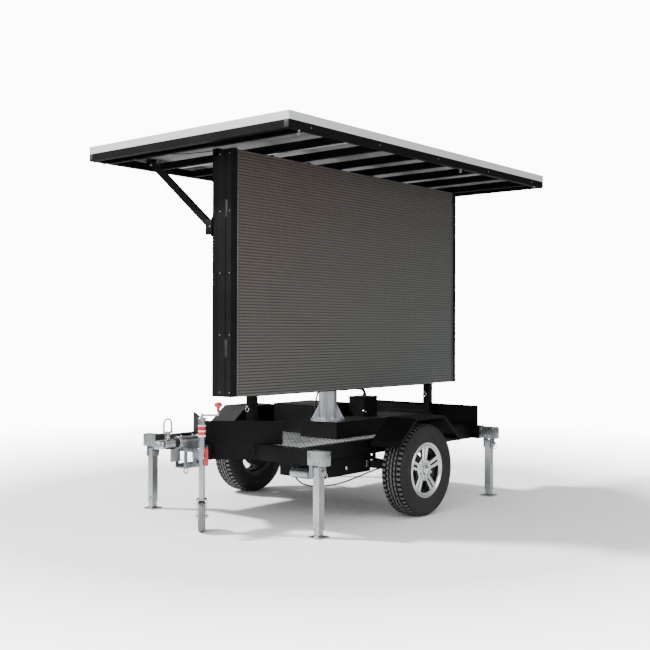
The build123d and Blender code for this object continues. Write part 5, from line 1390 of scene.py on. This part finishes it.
@dataclass
class Coupling:
    """The ball head with its latch and loop handle, the bellows and the bracket's fixings."""

    height: float = 580.0
    head_x: float = -1669.0
    back_x: float = -1560.0
    housing_x: float = -1530.0
    handle_x: float = -1605.0
    pivot_z: float = 622.0
    gaiter_keep: float = 0.26

    def build(self) -> None:
        """Builds each piece on its own body."""
        self.build_head()
        self.build_handle()
        self.build_bellows()
        self.build_fixings()

    def build_head(self) -> None:
        """Builds the pressed head: a dome over the ball cup and a tapering neck on the draw tube."""
        mesher = Mesher()
        cup = [(0, 26), (0, 35), (3, 36), (34, 36), (44, 33), (50, 26), (53, 14), (53.5, 0.2)]
        cup += [(47.4, 0.2), (46, 10), (40, 19), (32, 24.6), (22, 25.8)]
        mesher.turned(cup, at(self.head_x, 0, 553), (0, 0, 1), ZINC, 56, True)
        sections = [
            (-1655, 25, 557, 600), (-1640, 27, 556, 606), (-1600, 25, 557, 606), (-1575, 25, 556, 605),
            (-1561, 26, 554, 605),
        ]
        rings = []
        for x, half, low, high in sections:
            middle, reach = (low + high) / 2, (high - low) / 2
            ring = []
            for n in range(20):
                turn = 2 * math.pi * n / 20
                y = half * math.copysign(abs(math.cos(turn)) ** 0.55, math.cos(turn))
                z = middle + reach * math.copysign(abs(math.sin(turn)) ** 0.55, math.sin(turn))
                ring.append(at(x, y, z))
            rings.append(ring)
        mesher.hull(rings, ZINC)
        mesher.bar(at(self.back_x - 2, 0, self.height), at(-1400, 0, self.height), 25, PIN_STEEL, 2, 40)
        for y in (-7, 7):
            ear = [
                at(self.handle_x + dx, y, z)
                for dx, z in ((-14, 604), (14, 604), (12, 624), (6, 632), (-6, 632), (-12, 624))
            ]
            mesher.outline(ear, Vector((0, -math.copysign(0.003, y), 0)), ZINC, 0.6)
        mesher.bar(
            at(self.handle_x, -14, self.pivot_z), at(self.handle_x, 14, self.pivot_z), 5, PIN_STEEL, 1, 20,
        )
        for x in (-1585, -1570):
            mesher.bolt(at(x, -25, 580), (0, -1, 0), 13, 7, ZINC)
            mesher.bolt(at(x, 25, 580), (0, 1, 0), 13, 7, ZINC)
        mesher.piece("coupling_ball_head", "coupling", "zinc_casting", ["coupling_head"])

    def build_handle(self) -> None:
        """Builds the latch lever with its bent rod loop."""
        mesher = Mesher()
        for side in (-1, 1):
            y = side * 8
            cheek = [
                at(self.handle_x + dx, y, z)
                for dx, z in ((-12, 612), (12, 612), (13, 640), (9, 658), (-9, 658), (-13, 640))
            ]
            mesher.outline(cheek, Vector((0, side * 0.0032, 0)), ZINC, 0.6)
        mesher.slab(at(self.handle_x - 12, -8, 646), at(self.handle_x + 12, 8, 657), ZINC, 1.5)
        loop = [
            at(self.handle_x - 30, 0, 652), at(self.handle_x - 33, 0, 690), at(self.handle_x - 30, 0, 728),
            at(self.handle_x, 0, 741),
        ]
        loop += [
            at(self.handle_x + 30, 0, 728), at(self.handle_x + 33, 0, 690), at(self.handle_x + 30, 0, 652),
        ]
        mesher.along(smooth_line(loop, 44), 6.0, ZINC, 14)
        mesher.slab(at(self.handle_x - 36, -6, 646), at(self.handle_x + 36, 6, 657), ZINC, 2.0)
        mesher.piece("coupling_loop_handle", "handle", "zinc_casting", ["coupling_handle"])

    def build_bellows(self) -> None:
        """Builds the rubber gaiter with its folds, on the fixed housing."""
        mesher = Mesher()
        folds = 4
        pitch = (self.housing_x - self.back_x) / folds
        profile = [(0.3, 26.2), (0.3, 29)]
        for n in range(folds):
            profile += [
                ((n + 0.22) * pitch, 29.5), ((n + 0.42) * pitch, 32.4), ((n + 0.58) * pitch, 32.4),
                ((n + 0.78) * pitch, 29.5),
            ]
        end = self.housing_x - self.back_x - 0.3
        profile += [(end, 29), (end, 26.2)]
        mesher.turned(profile, at(self.back_x, 0, self.height), (1, 0, 0), EPDM, 56, True)
        gaiter = mesher.piece("draw_tube_gaiter", "chassis", "bellows_rubber", ["bellows"])
        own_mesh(gaiter)

    def build_fixings(self) -> None:
        """Builds the clamp collars, grease nipples and bolts of the housing and its bracket."""
        mesher = Mesher()
        for x in (-1524, -1358):
            ring = [(0, 35.8), (0, 39), (1, 40), (13, 40), (14, 39), (14, 35.8)]
            mesher.turned(ring, at(x, 0, self.height), (1, 0, 0), ZINC, 48, True)
        for x in (-1490, -1390):
            base = at(x, 0, self.height + 35)
            mesher.turned(
                [(0, 6), (4, 6), (5, 3.5), (8, 3.2), (10, 3.8), (12, 2)], base, (0, 0, 1), CHROME, 12,
            )
        for x in (-1485, -1412, -1306):
            for side in (-1, 1):
                for z in (424, 530):
                    mesher.bolt(at(x, side * 45, z), (0, side, 0), 13, 7, ZINC)
        for y in (-38, 38):
            for z in (470, 520):
                mesher.bolt(at(-1290, y, z), (1, 0, 0), 13, 6, ZINC, False)
        mesher.piece("housing_fixings", "chassis", "zinc_casting")


@dataclass
class SupportLegs:
    """The hardware of the four legs: sleeve seams, clamp bolts, pin clips and foot welds."""

    beam_x: float = 1050.0
    leg_y: float = 794.0
    pivot_z: float = 420.0
    cheek_face: float = 32.4
    sleeve_end: float = 865.0

    def build(self) -> None:
        """Builds the hardware of each corner."""
        for end in End:
            for side in Side:
                self.build_corner(end, side)

    def build_corner(self, end: End, side: Side) -> None:
        """Builds one corner's pieces on its arm, leg and foot.

        Args:
            end: front or rear.
            side: left or right.
        """
        corner = f"{end.name.lower()}_{side.name.lower()}"
        x, out = end.value * self.beam_x, side.value
        self.build_sleeve(corner, x, out)
        self.build_foot(corner, x, out)
        self.build_collars(corner, x, out)

    def build_sleeve(self, corner: str, x: float, out: int) -> None:
        """Builds the end cap, straps, cheek plates and pin ring of the sleeve.

        Args:
            corner: the corner's name in the nodes.
            x: the leg's place along the trailer, in millimetres.
            out: the sign of the outward direction along Y.
        """
        arm = Mesher()
        y_end = out * self.sleeve_end
        cap = [at(x + dx, y_end, z) for dx, z in ((-31, 458), (31, 458), (31, 542), (-31, 542))]
        arm.outline(cap, Vector((0, out * 0.0025, 0)), GALVANISED, 0.8)
        for z in (466, 500, 534):
            arm.bolt(at(x, y_end + out * 2.4, z), (0, out, 0), 10, 3.5, ZINC, False)
        for face in (-1, 1):
            for y in (742, 846):
                arm.slab(
                    at(x + face * 33, out * y - 7, 458), at(x + face * 35.2, out * y + 7, 542), GALVANISED,
                    1.0,
                )
            for shift in (-18, 18):
                arm.bolt(at(x + face * 33.1, out * self.leg_y + shift, 474), (face, 0, 0), 16, 8, ZINC)
            seat = out * self.leg_y + face * self.cheek_face
            arm.slab(at(x - 29, seat, 389), at(x + 29, seat + face * 2.4, 448), GALVANISED, 1.2)
            for shift in (-20, 20):
                arm.bolt(at(x + shift, seat + face * 2.3, 440), (0, face, 0), 10, 5, ZINC)
        pin_end = out * (self.leg_y + self.cheek_face + 18)
        arm.bar(
            at(x, out * (self.leg_y + self.cheek_face), self.pivot_z), at(x, pin_end, self.pivot_z), 7,
            PIN_STEEL,
        )
        arm.ring(at(x, pin_end - out * 5, self.pivot_z - 15), (0, 1, 0), 14, 2.2, PIN_STEEL, 28)
        arm.piece("leg_hardware_" + corner, "arm_" + corner, "galvanised")

    def build_foot(self, corner: str, x: float, out: int) -> None:
        """Builds the weld beads and the bolt rings of the foot plate.

        Args:
            corner: the corner's name in the nodes.
            x: the leg's place along the trailer, in millimetres.
            out: the sign of the outward direction along Y.
        """
        foot = Mesher()
        for way_x, way_y in ((1, 0), (-1, 0), (0, 1), (0, -1)):
            base = at(x + way_x * 19, out * self.leg_y + way_y * 19, 8)
            bead = [base + Vector((-way_y, way_x, 0)) * n * 0.004 for n in range(-4, 5)]
            foot.along(bead, lambda share: 3.2 + 0.5 * math.sin(share * 40), GALVANISED, 8)
        for dx in (-38, 38):
            foot.turned(
                [(0, 7.4), (1.2, 7.4), (1.6, 6.6), (1.6, 5.6), (0, 5.6)],
                at(x + dx, out * self.leg_y + 38, 8), (0, 0, 1), ZINC, 20, True,
            )
        foot.piece("foot_welds_" + corner, "foot_leg_" + corner, "galvanised")

    def build_collars(self, corner: str, x: float, out: int) -> None:
        """Builds the collars at both ends of the leg and its through bolt.

        Args:
            corner: the corner's name in the nodes.
            x: the leg's place along the trailer, in millimetres.
            out: the sign of the outward direction along Y.
        """
        leg = Mesher()
        for z in (52, 430):
            leg.slab(
                at(x - 26.2, out * self.leg_y - 26.2, z), at(x - 24.8, out * self.leg_y + 26.2, z + 10),
                GALVANISED, 0.5,
            )
            leg.slab(
                at(x + 24.8, out * self.leg_y - 26.2, z), at(x + 26.2, out * self.leg_y + 26.2, z + 10),
                GALVANISED, 0.5,
            )
        leg.bolt(at(x - 25, out * self.leg_y, 84), (-1, 0, 0), 13, 8, ZINC)
        leg.bolt(at(x + 25, out * self.leg_y, 84), (1, 0, 0), 13, 8, ZINC)
        leg.piece("leg_collars_" + corner, "swing_leg_" + corner, "galvanised")


@dataclass
class ChassisTrims:
    """Bolts, rivets, caps, lamps and lids on the trailer's frame."""

    def build(self) -> None:
        """Builds the trims of the frame, the boxes and the mast."""
        self.build_bolts()
        self.build_lamps()
        self.build_boxes()
        self.build_mast()

    def build_bolts(self) -> None:
        """Builds the frame's bolts and the guards' rivets."""
        mesher = Mesher()
        angle = math.radians(53)
        for side in (-1, 1):
            along = Vector((math.cos(angle), side * math.sin(angle), 0))
            out = Vector((-math.sin(angle), side * math.cos(angle), 0))
            for reach in (80, 190, 300):
                mesher.bolt(at(-1290, 0, 500) + along * reach * MM, out, 13, 6, FRAME_BLACK)
            last = 500 if side < 0 else 690
            for n in range(6):
                spot = at(-1290, 0, 0) + along * (40 + (last - 40) * n / 5) * MM
                for z in (561, 694):
                    mesher.bolt(spot + Vector((0, 0, z * MM)), out, 8, 2.6, FRAME_BLACK, False)
        for n in range(8):
            y = -640 + 1110 * n / 7
            for z in (561, 694):
                mesher.bolt(at(1088, y, z), (1, 0, 0), 8, 2.6, FRAME_BLACK, False)
        for x in (-250, 250):
            for side in (-1, 1):
                for shift in (-10, 10):
                    mesher.bolt(at(x + shift, side * 697, 532), (0, -side, 0), 10, 5, ZINC, False)
        for y in (-235, -185):
            mesher.slab(at(-1081, y - 6, 550), at(-1019, y + 6, 556), FRAME_BLACK, 1)
        mesher.piece("frame_fixings", "chassis", "frame_black")

    def build_lamps(self) -> None:
        """Builds the three-part lenses with their ribs, over the lamps at the rear."""
        mesher = Mesher()
        for side in (-1, 1):
            for n, finish in enumerate((LENS_RED, LENS_RED, LENS_AMBER)):
                y0 = side * (526 + n * 50)
                y1 = side * (526 + n * 50 + 48)
                mesher.slab(at(1113.5, y0, 475), at(1117, y1, 525), finish, 2.0)
                for rib in range(6):
                    z = 480 + rib * 8
                    mesher.slab(at(1116.5, y0 + side * 3, z), at(1118.6, y1 - side * 3, z + 4), finish, 0.9)
        mesher.piece("lamp_lenses", "chassis", "lamp_red")
        dress("tail_lamps", JUNCTION)

    def build_boxes(self) -> None:
        """Builds the latches, vents, lid seams and button of the boxes on the deck."""
        mesher = Mesher()
        mesher.turned([(0, 13), (2, 13), (4, 10), (5, 0.1)], at(452, -1, 662), (0, -1, 0), CHROME, 28)
        mesher.turned([(3, 9), (9, 8.5), (11, 6), (11.4, 0.1)], at(470, 0, 655), (0, -1, 0), PIN_STEEL, 24)
        for x in (458, 622):
            for y in (8, 142):
                mesher.bolt(at(x, y, 776), (0, 0, 1), 8, 3, PIN_STEEL, False)
        mesher.slab(at(448, -4.5, 758), at(632, -1.5, 764), CABINET_BLACK, 1)
        for row in range(5):
            mesher.slab(at(500, -0.5, 690 + row * 11), at(580, -3.5, 694 + row * 11), CABINET_BLACK, 1)
        for corner_x in (58, 492):
            for corner_y in (194, 598):
                mesher.bolt(at(corner_x, corner_y, 720), (0, 0, 1), 10, 3, ZINC, False)
        mesher.outline(
            [at(x, y, 719.5) for x, y in ((70, 206), (480, 206), (480, 586), (70, 586))],
            Vector((0, 0, 0.004)), CABINET_BLACK, 1.5,
        )
        mesher.piece("deck_box_trims", "chassis", "cabinet_grey")
        door = Mesher()
        low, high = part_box("equipment_cabinet_door")
        door.turned(
            [(0, 15), (2, 15), (4, 12), (5, 0.1)], Vector((high.x - 0.006, low.y + 0.04, 0.64)), (1, 0, 0),
            CHROME, 28,
        )
        door.slab(
            Vector((high.x - 0.004, low.y + 0.038, 0.622)), Vector((high.x + 0.004, low.y + 0.042, 0.658)),
            PIN_STEEL, 1,
        )
        door.piece("cabinet_door_latch", "cabinet_door", "cabinet_grey")
        lid = Mesher()
        low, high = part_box("toolbox_door")
        middle = (low + high) / 2
        lid.turned(
            [(0, 13), (2.5, 13), (4, 10), (4.5, 0.1)], Vector((middle.x, low.y + 0.0005, middle.z - 0.012)),
            (0, -1, 0), CHROME, 28,
        )
        for end in (-1, 1):
            lid.slab(
                Vector((middle.x + end * 0.235 - 0.012, low.y + 0.006, middle.z - 0.03)),
                Vector((middle.x + end * 0.235 + 0.012, low.y + 0.001, middle.z + 0.02)), PIN_STEEL, 1.5,
            )
        lid.piece("toolbox_latches", "box_door", "panel_black")

    def build_mast(self) -> None:
        """Builds the mast's base bolts, its top seal and the lift hose."""
        mesher = Mesher()
        for n in range(6):
            turn = math.radians(60 * n)
            mesher.bolt(at(112 * math.cos(turn), 112 * math.sin(turn), 636), (0, 0, 1), 19, 12, ZINC)
        mesher.turned(
            [(0, 56), (0, 70), (1, 73), (17, 73), (20, 68), (20, 56)], at(0, 0, 1884), (0, 0, 1), EPDM, 56,
            True,
        )
        mesher.turned(
            [(0, 69.5), (0, 78), (3, 80), (22, 80), (25, 78), (25, 69.5)], at(0, 0, 1850), (0, 0, 1),
            MAST_SILVER, 56, True,
        )
        hose = [
            at(-60, 55, 640), at(-66, 60, 660), at(-75, 66, 700), at(-60, 70, 760), at(-50, 62, 820),
            at(-48, 52, 860),
        ]
        mesher.along(smooth_line(hose, 36), 7.0, PVC, 12)
        mesher.turned([(0, 9), (18, 9), (20, 7.5)], at(-60, 55, 634), (0, 0, 1), ZINC, 6)
        mesher.turned([(0, 9), (16, 9)], at(-47, 51, 866), (0.68, -0.73, 0), ZINC, 6)
        mesher.piece("mast_fittings", "chassis", "mast_silver")


@dataclass
class Cables:
    """The brake cable, held at both ends, and the conduits with their glands."""

    brake: tuple = (
        (
            -1012, -440, 470,
        ), (-940, -440, 470), (-905, -446, 405), (-896, -455, 330), (-820, -470, 270), (-700, -488, 248),
        (
            -560, -500, 241,
        ), (-420, -508, 250), (-290, -524, 274), (-185, -556, 304), (-100, -590, 325), (-25, -590, 325),
    )
    mast: tuple = (
        (
            560, 75, 780,
        ), (560, 75, 826), (470, 66, 845), (340, 46, 848), (210, 22, 844), (112, 6, 856), (98, 2, 960),
        (98, 0, 1080), (84, 0, 1112),
    )
    deck: tuple = ((630, 75, 700), (668, 75, 700), (695, 75, 672), (695, 75, 620))

    def build(self) -> None:
        """Builds the cable and the ribbed conduits."""
        mesher = Mesher()
        mesher.along(smooth_line([at(*point) for point in self.brake], 120), 5.0, PVC, 14)
        mesher.turned([(0, 10), (16, 10), (20, 6)], at(-1012, -440, 470), (1, 0, 0), ZINC, 16)
        mesher.turned([(0, 10), (16, 10), (20, 6)], at(-25, -590, 325), (-1, 0, 0), ZINC, 16)
        mesher.piece("brake_cable_run", "chassis", "cord_black", ["brake_cable"])
        conduits = Mesher()
        for route, ribs in ((self.mast, 110), (self.deck, 20)):
            count = ribs * 4
            line = smooth_line([at(*point) for point in route], count)
            conduits.along(
                line, lambda share, ribs=ribs: 11.4 + 0.9 * math.cos(share * ribs * 2 * math.pi), CONDUIT,
                16,
            )
        for place, way in (
            ((560, 75, 779), (0, 0, 1)), ((630, 75, 700), (1, 0, 0)), ((695, 75, 620), (0, 0, 1)),
        ):
            conduits.turned([(0, 17), (9, 17), (10, 15)], at(*place), way, JUNCTION, 6)
            conduits.turned([(10, 15), (17, 14), (20, 12.5)], at(*place), way, JUNCTION, 24)
        conduits.piece("ribbed_conduits", "chassis", "cord_black", ["conduits"])


@dataclass
class RoofFittings:
    """Clamps, eye bolts, end caps and the brace bolts of the roof frame."""

    def build(self) -> None:
        """Builds the fittings under the roof."""
        mesher = Mesher()
        low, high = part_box("roof_frame")
        bottom = low.z + 0.006
        for x in (low.x + 0.11, low.x + 1.9, high.x - 0.12):
            for y, way in ((low.y, 1), (high.y, -1)):
                spot = Vector((x, y + way * 0.02, bottom))
                mesher.bolt(spot, (0, 0, -1), 13, 5, ZINC)
                mesher.ring(spot + Vector((0, 0, -0.016)), (0, 1, 0), 10, 1.9, PIN_STEEL, 28)
        for n in range(5):
            x = low.x + 0.2 + (high.x - low.x - 0.4) * n / 4
            for y, way in ((low.y, -1), (high.y, 1)):
                mesher.bolt(Vector((x, y, bottom + 0.025)), (0, way, 0), 8, 2.2, PIN_STEEL, False)
        for x, out in ((low.x, -1), (high.x, 1)):
            for y in (low.y + 0.02, high.y - 0.02):
                mesher.slab(
                    Vector((x - out * 0.004, y - 0.018, bottom + 0.002)),
                    Vector((x + out * 0.0025, y + 0.018, bottom + 0.048)), JUNCTION, 1.2,
                )
        for end in (-1, 1):
            x = end * 1315
            for face in (-1, 1):
                mesher.bolt(at(x + face * 20, -100, 1985), (face, 0, 0), 13, 6, ZINC)
                mesher.bolt(at(x + face * 20, 490, 2450), (face, 0, 0), 13, 6, ZINC)
                mesher.slab(at(x + face * 20, -126, 1930), at(x + face * 25, -60, 2030), FRAME_BLACK, 1.0)
            mesher.slab(at(x - 32, -127, 1915), at(x + 32, -121, 2045), FRAME_BLACK, 1.2)
        mesher.piece("roof_fittings", "display", "frame_black")




@dataclass
class Studio:
    """The pale floor, the soft lights and the camera."""

    eye: tuple = (-5800.0, -4790.0, 1305.0)
    heading: float = 39.73
    pitch: float = 0.326
    roll: float = 0.17
    lens_mm: float = 54.5
    sky_low: float = 0.1
    sky_high: float = 1.5
    backdrop: float = 12.0
    floor_near: float = 2.4
    floor_far: float = 7.0
    floor_reach: float = 120.0
    floor_drop: float = 0.0005
    key_power: float = 7.0
    key_spread: float = 6.0
    key_way: tuple = (0.52, -0.86, -1.0)
    # Name, place, target, size and power of each fill, in metres and watts.
    fills: tuple = (
        ("fill_left", (-6.5, -1.5, 3.2), (-0.6, 0.0, 0.9), 3.0, 110.0),
        ("fill_front", (0.5, -6.5, 2.4), (0.3, 0.0, 0.9), 2.5, 110.0),
    )

    def build(self) -> None:
        """Builds the floor, the lights and the camera."""
        self.build_floor()
        self.build_lights()
        self.build_camera()

    def build_floor(self) -> None:
        """Builds a wide floor that meets the sky softly."""
        mesh = bpy.data.meshes.new("studio_floor")
        reach, drop = self.floor_reach, -self.floor_drop
        corners = [
            (-reach, -reach, drop), (reach, -reach, drop), (reach, reach, drop), (-reach, reach, drop),
        ]
        mesh.from_pydata(corners, [], [(0, 1, 2, 3)])
        floor = bpy.data.objects.new("studio_floor", mesh)
        bpy.context.collection.objects.link(floor)
        paper = Finish(
            "matt_paper_floor", "frame_black", "f2f2f1", 0.9, 0.0, 30.0, 0.02, 0.05, "e6e6e4", 0.1,
        )
        material = paper.material()
        mesh.materials.append(material)
        self.fade(material.node_tree)

    def fade(self, tree: bpy.types.NodeTree) -> None:
        """Lets the paper thin out with distance, so that floor and backdrop meet with no line.

        Args:
            tree: the paper's node tree, which ends in its shader.
        """
        out = next(node for node in tree.nodes if node.type == "OUTPUT_MATERIAL")
        paper = out.inputs["Surface"].links[0].from_socket
        place = add_node(tree, "TexCoord").outputs["Object"]
        distance = add_node(tree, "VectorMath", {0: place}, operation="LENGTH").outputs["Value"]
        share = ranged(tree, distance, self.floor_near, self.floor_far, 0.0, 1.0)
        air = add_node(tree, "BsdfTransparent").outputs[0]
        mixed = add_node(tree, "MixShader", {0: share, 1: paper, 2: air}).outputs[0]
        tree.links.new(mixed, out.inputs["Surface"])

    def build_lights(self) -> None:
        """Builds the pale surround, a soft key from behind on the left, and two fills."""
        world = bpy.data.worlds.new("studio_sky")
        bpy.context.scene.world = world
        world.use_nodes = True
        tree = world.node_tree
        way = add_node(tree, "SeparateXYZ", {0: add_node(tree, "TexCoord").outputs["Generated"]}).outputs
        height = ranged(tree, way["Z"], -0.25, 0.9, self.sky_low, self.sky_high)
        across = ranged(tree, way["X"], -0.9, 0.9, 1.7, 0.35)
        level = add_node(tree, "Math", {0: height, 1: across}, operation="MULTIPLY").outputs[0]
        seen = add_node(tree, "LightPath").outputs["Is Camera Ray"]
        strength = add_node(tree, "Mix", {0: seen, 2: level, 3: self.backdrop}).outputs[0]
        tree.links.new(strength, tree.nodes["Background"].inputs[1])
        tree.nodes["Background"].inputs[0].default_value = srgb("ffffff")
        sun = bpy.data.lights.new("key", "SUN")
        sun.energy = self.key_power
        sun.angle = math.radians(self.key_spread)
        lamp = bpy.data.objects.new("key", sun)
        lamp.rotation_euler = Vector(self.key_way).to_track_quat("-Z", "Y").to_euler()
        bpy.context.collection.objects.link(lamp)
        for name, place, target, size, power in self.fills:
            area = bpy.data.lights.new(name, "AREA")
            area.energy = power
            area.size = size
            light = bpy.data.objects.new(name, area)
            light.location = place
            light.rotation_euler = (Vector(target) - Vector(place)).to_track_quat("-Z", "Y").to_euler()
            bpy.context.collection.objects.link(light)

    def build_camera(self) -> None:
        """Places the camera low on the near side of the hitch."""
        data = bpy.data.cameras.new("camera")
        data.sensor_width = 36.0
        data.lens = self.lens_mm
        camera = bpy.data.objects.new("camera", data)
        bpy.context.collection.objects.link(camera)
        heading, pitch = math.radians(self.heading), math.radians(self.pitch)
        view = Vector(
            (math.cos(heading) * math.cos(pitch), math.sin(heading) * math.cos(pitch), math.sin(pitch))
        )
        turn = view.to_track_quat("-Z", "Y") @ Quaternion((0, 0, 1), math.radians(self.roll))
        camera.rotation_euler = turn.to_euler()
        camera.location = at(*self.eye)
        bpy.context.scene.camera = camera


def dress_frame() -> None:
    """Gives every CAD node its finish, also where a piece then stands for it."""
    for node in ("chassis_frame", "rest_posts", "roof_frame", "roof_braces", "axle_beam"):
        dress(node, FRAME_BLACK, 2.0)
    for node in ("guard_panels", "spine_cover", "fenders", "toolbox", "toolbox_door"):
        dress(node, PANEL_BLACK, 1.0)
    for node in ("equipment_cabinet", "equipment_cabinet_door", "control_box"):
        dress(node, CABINET_BLACK, 1.0)
    dress("deck_plate", TREAD_GROUND)
    for node in ("mast_outer_tube", "mast_inner_tube"):
        dress(node, MAST_SILVER)
    for node in ("overrun_housing", "coupling_head", "coupling_handle"):
        dress(node, ZINC)
    for node in ("jockey_outer_tube", "jockey_inner_tube", "jockey_fork", "jockey_crank"):
        dress(node, LEG_ZINC)
    dress("hydraulic_motor", ZINC)
    dress("jockey_clamp", RED)
    dress("jockey_wheel", ROLLER)
    dress("bellows", EPDM)
    dress("batteries", BATTERY)
    dress("brake_cable", PVC)
    dress("conduits", CONDUIT)
    for node in ("lock_pin_front", "lock_pin_rear"):
        dress(node, PIN_STEEL)
    for side in Side:
        for end in End:
            corner = f"{end.name.lower()}_{side.name.lower()}"
            dress("outrigger_arm_" + corner, FRAME_BLACK)
            dress("leg_fork_" + corner, GALVANISED)
            for kind in ("leg_", "foot_"):
                dress(kind + corner, LEG_ZINC)


def main() -> None:
    """Builds the looks in order and reports each piece."""
    logging.basicConfig(level=logging.INFO, format="%(name)s: %(message)s")
    dress_frame()
    parts = (
        Studio(), Wheel(Side.LEFT), Wheel(
            Side.RIGHT
        ), SolarRoof(), Display(), Deck(), JockeyWheel(), Coupling(),
        SupportLegs(), ChassisTrims(), Cables(), RoofFittings(),
    )
    for part in parts:
        part.build()
        LOG.info("%s is built", type(part).__name__)


if __name__ == "__main__":
    main()
